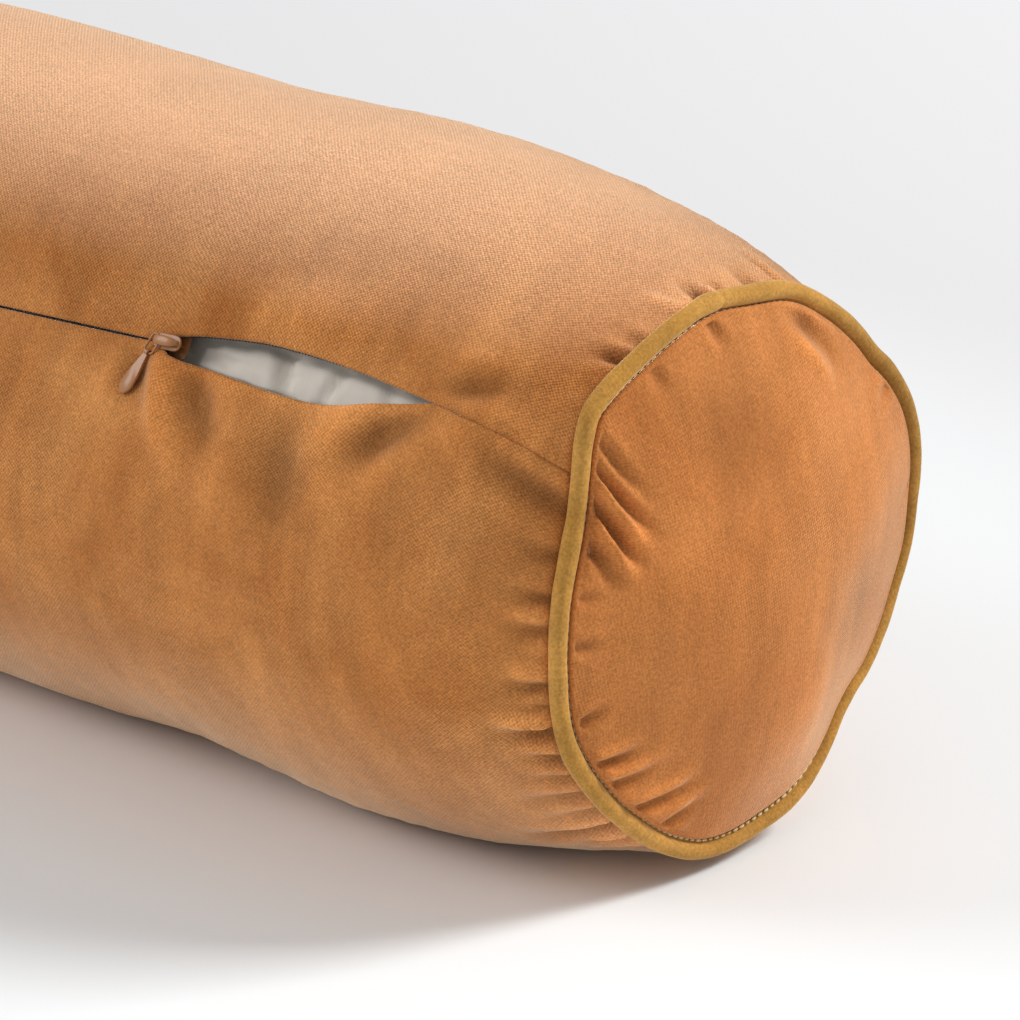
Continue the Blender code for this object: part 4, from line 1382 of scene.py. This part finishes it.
@dataclass(frozen=True)
class Row:
    """A row of stitches or coil turns along a path, by Geometry Nodes."""

    kind: Repeat
    spacing: float
    length: float
    radius: float
    ragged: float  # how uneven their sizes are, as a share

    def tree(self) -> bpy.types.NodeTree:
        """Builds the node tree, or finds the one made before.

        Returns:
            The tree.
        """
        known = bpy.data.node_groups.get(self.kind.value)
        if known:
            return known
        tree = bpy.data.node_groups.new(self.kind.value, "GeometryNodeTree")
        face = tree.interface
        face.new_socket("Path", in_out="INPUT", socket_type="NodeSocketGeometry")
        for name in ("Spacing", "Length", "Radius", "Ragged"):
            face.new_socket(name, in_out="INPUT", socket_type="NodeSocketFloat")
        face.new_socket("Finish", in_out="INPUT", socket_type="NodeSocketMaterial")
        face.new_socket("Row", in_out="OUTPUT", socket_type="NodeSocketGeometry")
        given = add(tree, "NodeGroupInput").outputs
        line = add(tree, "GeometryNodeMeshToCurve", {"Mesh": given["Path"]})
        steps = add(tree, "GeometryNodeResampleCurve", {"Curve": line.outputs[0], "Length": given["Spacing"]},
                    mode="LENGTH")
        heading = add(tree, "GeometryNodeInputTangent")
        facing = add(tree, "FunctionNodeAlignRotationToVector", {"Vector": heading.outputs[0]}, axis="X")
        shape = self.stitch(tree, given) if self.kind is Repeat.STITCH else self.coil_turn(tree, given)
        low = add(tree, "ShaderNodeMath", {0: 1.0, 1: given["Ragged"]}, operation="SUBTRACT").outputs[0]
        high = add(tree, "ShaderNodeMath", {0: 1.0, 1: given["Ragged"]}, operation="ADD").outputs[0]
        size = add(tree, "FunctionNodeRandomValue", {"Min": low, "Max": high, "Seed": 5}, data_type="FLOAT")
        placed = add(tree, "GeometryNodeInstanceOnPoints", {
            "Points": steps.outputs[0], "Instance": shape, "Rotation": facing.outputs[0], "Scale": size.outputs[1]})
        solid = add(tree, "GeometryNodeRealizeInstances", {"Geometry": placed.outputs[0]})
        result = solid.outputs[0]
        if self.kind is Repeat.COIL:
            core = add(tree, "ShaderNodeMath", {0: given["Radius"], 1: 0.5}, operation="MULTIPLY").outputs[0]
            disc = add(tree, "GeometryNodeCurvePrimitiveCircle", {"Resolution": 7, "Radius": core})
            cord = add(tree, "GeometryNodeCurveToMesh", {"Curve": steps.outputs[0],
                                                         "Profile Curve": disc.outputs[0], "Fill Caps": True})
            result = add(tree, "GeometryNodeJoinGeometry").inputs[0]
            tree.links.new(cord.outputs[0], result)
            tree.links.new(solid.outputs[0], result)
            result = result.node.outputs[0]
        smooth = add(tree, "GeometryNodeSetShadeSmooth", {"Geometry": result})
        dressed = add(tree, "GeometryNodeSetMaterial", {"Geometry": smooth.outputs[0], "Material": given["Finish"]})
        add(tree, "NodeGroupOutput", {"Row": dressed.outputs[0]})
        return tree

    def stitch(self, tree: bpy.types.NodeTree, given: bpy.types.NodeOutputs) -> bpy.types.NodeSocket:
        """One stitch: a long bead that lies along X.

        Args:
            tree: The row's tree.
            given: The tree's inputs.

        Returns:
            Its mesh.
        """
        bead = add(tree, "GeometryNodeMeshUVSphere", {"Segments": 8, "Rings": 6, "Radius": 1.0})
        half = add(tree, "ShaderNodeMath", {0: given["Length"], 1: 0.5}, operation="MULTIPLY").outputs[0]
        size = add(tree, "ShaderNodeCombineXYZ", {0: half, 1: given["Radius"], 2: given["Radius"]})
        return add(tree, "GeometryNodeTransform", {"Geometry": bead.outputs[0], "Scale": size.outputs[0]}).outputs[0]

    def coil_turn(self, tree: bpy.types.NodeTree, given: bpy.types.NodeOutputs) -> bpy.types.NodeSocket:
        """One turn of the coil: a ring of round strand that leans along X.

        Args:
            tree: The row's tree.
            given: The tree's inputs.

        Returns:
            Its mesh.
        """
        wire = add(tree, "ShaderNodeMath", {0: given["Length"], 1: 0.5}, operation="MULTIPLY").outputs[0]
        middle = add(tree, "ShaderNodeMath", {0: given["Radius"], 1: wire}, operation="SUBTRACT").outputs[0]
        hoop = add(tree, "GeometryNodeCurvePrimitiveCircle", {"Resolution": 10, "Radius": middle})
        strand = add(tree, "GeometryNodeCurvePrimitiveCircle", {"Resolution": 5, "Radius": wire})
        turn = add(tree, "GeometryNodeCurveToMesh", {"Curve": hoop.outputs[0], "Profile Curve": strand.outputs[0]})
        lean = (0.0, math.radians(76), 0.0)
        return add(tree, "GeometryNodeTransform", {"Geometry": turn.outputs[0], "Rotation": lean}).outputs[0]

    def build(self, piece: Piece, path: np.ndarray, closed: bool, material: bpy.types.Material) -> bpy.types.Object:
        """Makes the row.

        Args:
            piece: Names of the piece and of what it stands for.
            path: The points it follows.
            closed: Whether the path's ends meet.
            material: The row's finish.

        Returns:
            The finished piece.
        """
        count = len(path)
        edges = [(i, i + 1) for i in range(count - 1)] + ([(count - 1, 0)] if closed else [])
        mesh = bpy.data.meshes.new("path")
        mesh.from_pydata(path, edges, [])
        guide = bpy.data.objects.new("path", mesh)
        bpy.context.scene.collection.objects.link(guide)
        tree = self.tree()
        live = guide.modifiers.new("row", "NODES")
        live.node_group = tree
        sizes = {"Spacing": self.spacing, "Length": self.length, "Radius": self.radius, "Ragged": self.ragged,
                 "Finish": material}
        for item in tree.interface.items_tree:
            if item.in_out == "INPUT" and item.name in sizes:
                live[item.identifier] = sizes[item.name]
        bake_modifiers(guide)
        return piece.dress(guide, material)


@dataclass
class SeamThreads:
    """The stitches that hold the end seams and the sewn parts of the long seam."""

    end_row: Row = Row(Repeat.STITCH, 2.9 * MM, 2.2 * MM, 0.42 * MM, 0.2)
    long_row: Row = Row(Repeat.STITCH, 2.4 * MM, 1.9 * MM, 0.3 * MM, 0.1)

    def build(self, finishes: Finishes) -> None:
        """Makes the four rows.

        Args:
            finishes: The pillow's materials.
        """
        for end in End:
            turn = np.linspace(0, TAU, 240, endpoint=False)
            radius = FORM.seam_radius(end, turn) - 3.5 * MM
            x = end.value * (SEAM_X + (0.75 + 0.45 * bell(turn_gap(turn, math.radians(259)), 0.6)) * MM)
            path = about_axis(x, turn, radius)
            piece = Piece(f"end_seam_stitches_{end.label}", "sewing_thread", (f"end_seam_thread_{end.label}",))
            self.end_row.build(piece, path, True, finishes.thread)
            x = end.value * np.linspace(ZIP_REACH + 7 * MM, SEAM_X - 7 * MM, 14)
            turn = FORM.zip_turn(x)
            path = FORM.place(x, turn, FORM.radius(x, turn) + FORM.creases(x, turn) - 1.9 * MM)
            piece = Piece(f"long_seam_stitches_{end.label}", "sewing_thread", (f"long_seam_thread_{end.label}",))
            self.long_row.build(piece, path, False, finishes.dark_thread)


# ---- Zip -----------------------------------------------------------------------------------------


@dataclass
class Zip:
    """A concealed zip: two tapes with a nylon coil each, a slider, and its puller on a wire link."""

    tape_width: float = 12 * MM
    tape: float = 0.4 * MM  # its thickness
    tape_depth: float = 2.0 * MM  # under the cover's outer face
    coil_depth: float = 2.68 * MM
    coil_row: Row = Row(Repeat.COIL, 1.2 * MM, 0.5 * MM, 0.7 * MM, 0.02)
    stitch_row: Row = Row(Repeat.STITCH, 2.8 * MM, 2.2 * MM, 0.3 * MM, 0.08)
    link_turn: float = math.radians(71)  # how far round from the closed zip's line the puller hangs
    leg: float = -4 * MM  # the arch's leg, along the zip from the slider's middle
    link_height: float = 1.75 * MM
    link_reach: float = 4.6 * MM  # from the leg to the tab's eye

    def frame_at(self, x: float, facing: float) -> Matrix:
        """Local axes on the zip line at x: X along it, Y up round the body, Z out of the cover.

        Args:
            x: Where on the zip line.
            facing: The turn that Z faces, in radians.

        Returns:
            The axes, with the place on the line as their middle.
        """
        along = Vector((1, ZIP_SLANT * math.sin(ZIP_TURN), ZIP_SLANT * math.cos(ZIP_TURN))).normalized()
        out = Vector((0, -math.cos(facing), math.sin(facing)))
        out = (out - along * out.dot(along)).normalized()
        radius, turn = math.hypot(ZIP_RADIUS, x * ZIP_SLANT), ZIP_TURN + math.atan(x * ZIP_SLANT / ZIP_RADIUS)
        axes = Matrix((along, out.cross(along), out)).transposed().to_4x4()
        axes.translation = Vector((x, -radius * math.cos(turn), AXIS_HEIGHT + radius * math.sin(turn)))
        return axes

    def beside(self, x: np.ndarray, side: Side, distance: np.ndarray, depth: float) -> np.ndarray:
        """Points on one side of the zip line.

        Args:
            x: Places along it.
            side: Which side.
            distance: From the slit's edge.
            depth: Under the cover's outer face.

        Returns:
            The points.
        """
        offset = side.value * (lip(x, side) + distance)
        turn = FORM.zip_turn(x) + offset / FORM.zip_radius(x)
        reach = FORM.radius(x, turn) + FORM.creases(x, turn) - depth
        return FORM.place(np.broadcast_to(x, turn.shape), turn, reach)

    def build(self, finishes: Finishes) -> None:
        """Makes the tapes, coils, stitches, slider, link and tab, and dresses the stops.

        Args:
            finishes: The pillow's materials.
        """
        x = graded([(-243, 120), (120, 243)], [6, 2.5]) * MM
        for side in Side:
            wide = np.linspace(1.8 * MM, self.tape_width, 8)[None, :]
            points = self.beside(x[:, None], side, wide, self.tape_depth)
            cloth = np.stack(np.broadcast_arrays(x[:, None], wide), -1)
            piece = Piece(f"zip_tape_{side.label}_woven", "zip_tape", (f"zip_tape_{side.label}",))
            obj = grid_mesh(piece.name, points if side is Side.LOWER else points[::-1],
                            cloth if side is Side.LOWER else cloth[::-1])
            thicken(obj, self.tape)
            piece.dress(obj, finishes.tape)
            inner = x[(np.abs(x) < ZIP_REACH - 0.5 * MM)]
            path = self.beside(inner, side, np.full(inner.shape, 1.0 * MM), self.coil_depth)
            piece = Piece(f"zip_coil_{side.label}_turns", "zip_nylon", (f"zip_coil_{side.label}",))
            self.coil_row.build(piece, path, False, finishes.coil)
            path = self.beside(inner, side, np.full(inner.shape, 6 * MM), self.tape_depth + self.tape + 0.35 * MM)
            piece = Piece(f"zip_stitch_row_{side.label}", "sewing_thread", (f"zip_stitches_{side.label}",))
            self.stitch_row.build(piece, path, False, finishes.dark_thread)
        for node in ("zip_top_stop_upper", "zip_top_stop_lower", "zip_bottom_stop"):
            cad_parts[node].material_slots[0].material = finishes.enamel
        self.build_slider(finishes)
        self.build_link(finishes)
        self.build_tab(finishes)

    def plate(self, length: float, width: float, low: float, high: float, corner: float,
              bevel: float) -> bmesh.types.BMesh:
        """A flat plate with round corners and eased edges, in the slider's own axes.

        Args:
            length: Along the zip.
            width: Across it.
            low: Height of its under face.
            high: Height of its upper face.
            corner: Radius of its corners.
            bevel: Width of its eased edges.

        Returns:
            The plate.
        """
        form = bmesh.new()
        outline = []
        for sx, sy, start in ((1, 1, 0), (-1, 1, 90), (-1, -1, 180), (1, -1, 270)):
            for i in range(7):
                angle = math.radians(start + 15 * i)
                outline.append((sx * (length / 2 - corner) + corner * math.cos(angle),
                                sy * (width / 2 - corner) + corner * math.sin(angle)))
        low_ring = [form.verts.new((x, y, low)) for x, y in outline]
        high_ring = [form.verts.new((x, y, high)) for x, y in outline]
        form.faces.new(low_ring[::-1])
        form.faces.new(high_ring)
        for i, vert in enumerate(low_ring):
            j = (i + 1) % len(outline)
            form.faces.new((vert, low_ring[j], high_ring[j], high_ring[i]))
        rims = [e for e in form.edges if abs(e.verts[0].co.z - e.verts[1].co.z) < 1e-9]
        bmesh.ops.bevel(form, geom=rims, offset=bevel, segments=3, profile=0.6, affect="EDGES")
        return form

    def merged(self, name: str, parts: list[bmesh.types.BMesh], axes: Matrix) -> bpy.types.Object:
        """Unites closed parts into one solid and puts it in its place.

        Args:
            name: Name of the piece.
            parts: The closed parts, each overlapping another.
            axes: The piece's local axes.

        Returns:
            The new object.
        """
        objects = []
        for i, part in enumerate(parts):
            bmesh.ops.recalc_face_normals(part, faces=part.faces)
            mesh = bpy.data.meshes.new(f"{name}_{i}")
            part.to_mesh(mesh)
            part.free()
            obj = bpy.data.objects.new(f"{name}_{i}", mesh)
            bpy.context.scene.collection.objects.link(obj)
            objects.append(obj)
        main = objects[0]
        for other in objects[1:]:
            union = main.modifiers.new("join", "BOOLEAN")
            union.operation = "UNION"
            union.solver = "EXACT"
            union.object = other
        bake_modifiers(main)
        for other in objects[1:]:
            bpy.data.objects.remove(other)
        main.data.transform(axes)
        main.data.shade_smooth()
        main.data.set_sharp_from_angle(angle=math.radians(38))
        return main

    def arch(self) -> bmesh.types.BMesh:
        """The slider's crown: a broad rounded strap that springs from one leg to the other.

        Returns:
            The strap.
        """
        stations = [(-4.1, 0.8), (-4.25, 1.5), (-4.15, 2.2), (-3.6, 2.75), (-2.6, 3.02), (-1.2, 3.14), (0.2, 3.16),
                    (1.6, 3.1), (2.9, 2.92), (3.8, 2.5), (4.2, 1.9), (4.25, 0.8)]
        form = bmesh.new()
        rings = []
        for i, (x, z) in enumerate(stations):
            before, after = stations[max(i - 1, 0)], stations[min(i + 1, len(stations) - 1)]
            lean = math.atan2(after[1] - before[1], after[0] - before[0])
            broad = 0.75 + 0.8 * math.sin(math.pi * (i - 1) / (len(stations) - 3)) ** 0.7 if 1 < i < 10 else 0.75
            ring = []
            for k in range(16):
                angle = TAU * k / 16
                y = broad * math.copysign(abs(math.cos(angle)) ** 0.7, math.cos(angle))
                t = 0.42 * math.copysign(abs(math.sin(angle)) ** 0.8, math.sin(angle)) - 0.12 * (y / broad) ** 2
                ring.append(form.verts.new(((x - t * math.sin(lean)) * MM, y * MM, (z + t * math.cos(lean)) * MM)))
            rings.append(ring)
        for first, second in zip(rings, rings[1:]):
            bridge(form, first, second)
        form.faces.new(rings[0][::-1])
        form.faces.new(rings[-1])
        return form

    def build_slider(self, finishes: Finishes) -> None:
        """Makes the slider: a plate behind the coils, a neck in the slit, and a plate and arch in front.

        Args:
            finishes: The pillow's materials.
        """
        front = self.plate(10.6 * MM, 4.6 * MM, 0.45 * MM, 1.15 * MM, 2.0 * MM, 0.22 * MM)
        neck = self.plate(6 * MM, 0.6 * MM, -3.7 * MM, 0.8 * MM, 0.25 * MM, 0.05 * MM)
        back = self.plate(9 * MM, 8 * MM, -4.05 * MM, -3.45 * MM, 1.8 * MM, 0.15 * MM)
        parts = [front, self.arch(), neck, back]
        obj = self.merged("zip_slider_body", parts, self.frame_at(SLIDER_X, ZIP_TURN))
        Piece("zip_slider_body", "zip_enamel", ("zip_slider",)).dress(obj, finishes.enamel, "slider")

    def puller_axes(self) -> Matrix:
        """Local axes of the puller: X towards its tip, Z out of the cover, at the arch's leg.

        Returns:
            The axes.
        """
        facing = ZIP_TURN + math.atan(SLIDER_X * ZIP_SLANT / ZIP_RADIUS)
        hang = Matrix.Rotation(math.pi + self.link_turn, 4, "Z")
        return self.frame_at(SLIDER_X, facing) @ Matrix.Translation((self.leg, 0, self.link_height)) @ hang

    def build_link(self, finishes: Finishes) -> None:
        """Makes the wire loop between the slider's leg and the tab.

        Args:
            finishes: The pillow's materials.
        """
        back, front, half, bend = -1.45 * MM, self.link_reach, 1.9 * MM, 1.1 * MM
        path = []
        for centre, sign, start in ((front - bend, 1, 0), (back + bend, 1, 90), (back + bend, -1, 180),
                                    (front - bend, -1, 270)):
            for i in range(9):
                angle = math.radians(start + 90 * i / 8)
                path.append((centre + bend * math.cos(angle), sign * (half - bend) + bend * math.sin(angle), 0))
        path = np.array(path)
        wire = circle(0.36 * MM, 12)
        points = closed_both_ways(tube_points(path, np.tile([0.0, 0, 1], (len(path), 1)), wire, True))
        obj = grid_mesh("pull_link_wire", points, points[..., :2])
        fix_outwards(obj)
        obj.data.transform(self.puller_axes())
        Piece("pull_link_wire", "zip_enamel", ("pull_link",)).dress(obj, finishes.enamel, "link")

    def blade(self) -> bmesh.types.BMesh:
        """The tab's flat teardrop, narrow at its head and full towards its rounded tip.

        Returns:
            The teardrop.
        """
        length, head, widest, thick = 14.4 * MM, 0.95 * MM, 2.5 * MM, 1.0 * MM
        steps = 40
        edge = []
        for i in range(steps + 1):
            share = (1 - math.cos(math.pi * i / steps)) / 2
            swell = head + (widest - head) * math.sin(math.pi * min(share / 0.74, 1) / 2) ** 1.5
            tip = math.sqrt(max(0.0, 1 - max(0.0, (share - 0.74) / 0.26) ** 2))
            start = math.sqrt(max(0.0, 1 - max(0.0, 1 - share / 0.03) ** 2))
            edge.append(((0.65 + (length / MM - 0.65) * share) * MM, swell * tip * max(start, 0.6)))
        loop = edge[:-1] + [(edge[-1][0], 0.0)] + [(x, -y) for x, y in reversed(edge[:-1])]
        form = bmesh.new()
        rings = []
        for shrink, z in ((0.28, -0.5), (0.08, -0.38), (0, -0.16), (0, 0.16), (0.08, 0.38), (0.28, 0.5)):
            ring = []
            for x, y in loop:
                inset = 1 - shrink * MM / widest
                along = x - shrink * MM * (x / length)
                ring.append(form.verts.new((along, y * inset, z * thick)))
            rings.append(ring)
        form.faces.new(rings[0][::-1])
        form.faces.new(rings[-1])
        for first, second in zip(rings, rings[1:]):
            bridge(form, first, second)
        return form

    def knuckle(self) -> bmesh.types.BMesh:
        """The tab's eye: a short round sleeve on the link's end bar.

        Returns:
            The sleeve.
        """
        section = [(0.62, -0.75), (0.62, 0.75), (0.86, 0.75), (0.98, 0.62), (0.98, -0.62), (0.86, -0.75)]
        form = bmesh.new()
        rings = [[form.verts.new((r * math.cos(TAU * i / 28) * MM, y * MM, r * math.sin(TAU * i / 28) * MM))
                  for r, y in section] for i in range(28)]
        for i, ring in enumerate(rings):
            bridge(form, ring, rings[(i + 1) % len(rings)])
        return form

    def build_tab(self, finishes: Finishes) -> None:
        """Makes the tab that fingers hold.

        Args:
            finishes: The pillow's materials.
        """
        axes = self.puller_axes() @ Matrix.Translation((self.link_reach, 0, 0))
        obj = self.merged("pull_tab_teardrop", [self.blade(), self.knuckle()], axes)
        Piece("pull_tab_teardrop", "zip_enamel", ("pull_tab",)).dress(obj, finishes.enamel, "tab")


# ---- Inner pad -----------------------------------------------------------------------------------


# Creases of the casing in the open mouth.
MOUTH_FOLDS = [
    Crease((112, 42.0), (98, 22.0), 3.6, -1.9, False), Crease((104, 40.0), (88, 26.0), 2.6, 0.7, False),
    Crease((82, 42.0), (94, 22.0), 2.6, -1.3, False), Crease((68, 38.0), (58, 28.0), 2.6, -0.7, False),
    Crease((140, 34.0), (118, 31.0), 2.4, -0.7, False),
]


@dataclass
class InnerPad:
    """A bleached cotton casing, tube and two discs, packed with hollow fibre."""

    inset: float = 6.6 * MM  # of the casing under the cover's outer face
    mouth_inset: float = 3.7 * MM  # and near the zip, where the filling presses it out
    bulge: float = 2.7 * MM  # how far the casing swells into the open mouth
    tuck: float = 5 * MM  # the pad is this much shorter than the cover at each end
    rim: float = 72.5 * MM
    crown: float = 16 * MM  # how far its ends bulge
    casing: float = 0.8 * MM  # the cloth's thickness

    def surface(self, x: np.ndarray, turn: np.ndarray, deeper: float) -> np.ndarray:
        """Points of the pad's tube.

        Args:
            x: Places along the pillow.
            turn: Angles round it.
            deeper: How far under the casing's outer face.

        Returns:
            The points.
        """
        inward = SEAM_X - np.abs(x)
        near_zip = bell(turn_gap(turn, FORM.zip_turn(x)) * 0.096 / MM, 14)
        radius = FORM.radius(x, turn) - self.inset + (self.inset - self.mouth_inset) * near_zip
        above, below = lip(x, Side.UPPER), lip(x, Side.LOWER)
        aside = turn_gap(turn, FORM.zip_turn(x)) * FORM.zip_radius(x)
        clear = np.minimum(above - aside, below + aside)  # distance in from the nearer lip
        opened = (x > SLIDER_X + 5.5 * MM) * (x < ZIP_REACH - 1 * MM) * ease((x - SLIDER_X) / MM / 6 - 0.9)
        swell = 0.66 * ease((clear + 0.3 * MM) / (0.8 * MM)) + 0.34 * ease(clear / (2.4 * MM))
        radius = radius + self.bulge * opened * swell
        for fold in MOUTH_FOLDS:
            radius = radius + fold.height(SEAM_X - x, turn, 0.09)
        ripple = 0.5 * np.sin(x / (17 * MM) + 2 * turn) + 0.4 * np.sin(x / (9 * MM) - 5 * turn)
        radius = radius + (ripple - 0.9) * MM * ease(inward / 0.03) * (np.abs(turn_gap(turn, ZIP_TURN)) > 0.2)
        rim = self.rim + 0.35 * (FORM.seam_radius(End.NEAR, turn) - SEAM_RADIUS) * (x > 0)
        radius = rim + (np.minimum(radius, 96 * MM) - rim) * ease(inward / (22 * MM)) ** 0.7
        cover = FORM.radius(x, turn) + FORM.creases(x, turn) - (3.6 * MM - 2.3 * MM * opened * (clear > 0))
        radius = np.minimum(radius, cover)
        points = FORM.place(x, turn, radius - deeper, self.inset + deeper)
        points[..., 0] *= (SEAM_X - self.tuck) / SEAM_X
        return points

    def build(self, finishes: Finishes) -> None:
        """Makes the casing's tube and discs, and the fibre in them.

        Args:
            finishes: The pillow's materials.
        """
        x = (SEAM_X - graded([(0, 24), (24, 150), (150, 546), (546, 570)], [2, 2, 7, 2]) * MM)[:, None]
        turn = ZIP_TURN + np.radians(graded([(0, 6), (6, 18), (18, 342), (342, 354), (354, 360)],
                                             [0.3, 1.0, 3.6, 1.0, 0.3]))[None, :]
        points = self.surface(x, turn, 0)[:, :-1]
        cloth = np.stack(np.broadcast_arrays(x, turn * 93 * MM), -1)
        piece = Piece("pad_casing_tube_cotton", "casing_cotton", ("pad_casing_tube",))
        tube = grid_mesh(piece.name, points, cloth, closed=True)
        thicken(tube, self.casing)
        piece.dress(tube, finishes.casing)
        for end in End:
            self.build_disc(finishes, end)
        self.build_fibre(finishes, x, turn)

    def build_fibre(self, finishes: Finishes, x: np.ndarray, turn: np.ndarray) -> None:
        """Makes the filling, a tube with two crowned ends.

        Args:
            finishes: The pillow's materials.
            x: Rows of the casing's tube.
            turn: Its columns.
        """
        core = self.surface(x, turn, self.casing + 0.5 * MM)[:, :-1]
        core[..., 0] *= 0.996
        rows = [core]
        for side in (0, -1):
            rim = core[side]
            hub = np.array([rim[0, 0], 0, SEAM_HEIGHT])
            caps = []
            for share in (0.95, 0.86, 0.7, 0.5, 0.28, 0.06):
                row = hub + (rim - hub) * share
                row[:, 0] += (1 if side == 0 else -1) * (self.crown - 3 * MM) * (1 - share**2.4) ** 0.6
                caps.append(row)
            if side == 0:
                rows.insert(0, np.stack(caps[::-1]))
            else:
                rows.append(np.stack(caps))
        core = np.concatenate(rows)
        piece = Piece("fibre_filling_core", "hollow_fibre", ("fibre_filling",))
        flat = np.concatenate([core, core[:, :1]], 1)[..., :2]
        obj = grid_mesh(piece.name, core[::-1], flat[::-1], closed=True)
        fill_holes(obj)
        fix_outwards(obj)
        piece.dress(obj, finishes.fibre)

    def build_disc(self, finishes: Finishes, end: End) -> None:
        """Makes one end of the casing.

        Args:
            finishes: The pillow's materials.
            end: Which end.
        """
        turn = np.linspace(0, TAU, 181)[None, :]
        rim = self.rim + 0.35 * (FORM.seam_radius(End.NEAR, turn) - SEAM_RADIUS) * (end is End.NEAR)
        share = graded([(1, 0.9), (0.9, 0.02)], [0.012, 0.035])[:, None]
        radius = rim * share
        height = self.crown * np.clip(1 - share**2.5, 0, 1) ** 0.6 - self.tuck + 1.1 * MM
        points = about_axis(end.value * (SEAM_X + height), turn, radius)[:, :-1]
        cloth = np.stack([-radius * np.cos(turn), radius * np.sin(turn)], -1)
        name = f"pad_casing_end_{end.label}"
        piece = Piece(f"{name}_cotton", "casing_cotton", (name,))
        obj = grid_mesh(piece.name, points, cloth, closed=True)
        fill_holes(obj)
        if end is End.NEAR:
            obj.data.flip_normals()
        thicken(obj, self.casing)
        piece.dress(obj, finishes.casing)


# ---- Studio --------------------------------------------------------------------------------------


@dataclass(frozen=True)
class SoftBox:
    """A square light that faces the pillow: its place, its side in metres, its power and its colour."""

    name: str
    place: tuple[float, float, float]
    size: float
    power: float
    colour: tuple[float, float, float]

    def build(self) -> None:
        """Hangs the light."""
        data = bpy.data.lights.new(self.name, "AREA")
        data.size = self.size
        data.energy = self.power
        data.color = self.colour
        light = bpy.data.objects.new(self.name, data)
        bpy.context.scene.collection.objects.link(light)
        light.location = self.place
        light.rotation_euler = (Vector(self.place) - Vector((0.12, 0, 0.08))).to_track_quat("Z", "Y").to_euler()


@dataclass
class Studio:
    """The camera, the pale floor and the lights."""

    lens: float = 175.4
    distance: float = 1.5
    azimuth: float = math.radians(41.68)
    elevation: float = math.radians(20.07)
    aim: tuple[float, float, float] = (0.1974, 0.0, 0.0894)
    lights: tuple[SoftBox, ...] = (SoftBox("key_bank_behind", (2.44, 2.47, 3.17), 1.3, 170, (1.0, 0.99, 0.975)),
                                   SoftBox("front_fill", (-2.9, -2.8, 2.5), 2.2, 92, (1.0, 0.985, 0.965)))

    def place_camera(self) -> None:
        """Makes the camera and looks through it."""
        data = bpy.data.cameras.new("camera")
        data.lens = self.lens
        data.sensor_width = 36
        camera = bpy.data.objects.new("camera", data)
        bpy.context.scene.collection.objects.link(camera)
        back = Vector((math.sin(self.azimuth) * math.cos(self.elevation),
                       -math.cos(self.azimuth) * math.cos(self.elevation), math.sin(self.elevation)))
        camera.location = Vector(self.aim) + back * self.distance
        camera.rotation_euler = back.to_track_quat("Z", "Y").to_euler()
        bpy.context.scene.camera = camera

    def place_floor(self) -> None:
        """Makes the floor, wide enough to fill the view from any side."""
        x = np.linspace(-30, 30, 3)
        grid = np.stack(np.broadcast_arrays(x[:, None], x[None, :], -0.2 * MM), -1)
        floor = grid_mesh("floor", grid, grid[..., :2])
        floor.data.flip_normals()
        # The paper's colours hold painted light: whiter round the pillow and lighter far behind it.
        floor.data.materials.append(StudioPaper("matt_seamless_paper", "#CDCED1", "#EEF3F6", "#EAEBEE").build())

    def build(self) -> None:
        """Sets up the whole studio."""
        self.place_camera()
        self.place_floor()
        for light in self.lights:
            light.build()
        world = bpy.data.worlds.new("studio")
        world.use_nodes = True
        bpy.context.scene.world = world
        background = world.node_tree.nodes["Background"]
        background.inputs["Color"].default_value = (1.0, 0.99, 0.975, 1.0)
        background.inputs["Strength"].default_value = 0.47
        bpy.context.scene.view_settings.view_transform = "Standard"


def write_size() -> None:
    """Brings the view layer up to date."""
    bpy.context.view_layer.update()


def main() -> None:
    """Builds the studio, then the pillow from the outside in."""
    logging.basicConfig(level=logging.INFO, format="%(message)s")
    Studio().build()
    finishes = Finishes()
    BodyPanel().build(finishes)
    for end in End:
        EndPanel(end).build(finishes)
        Piping(end).build(finishes)
    SeamThreads().build(finishes)
    Zip().build(finishes)
    InnerPad().build(finishes)
    write_size()


if __name__ == "__main__":
    main()
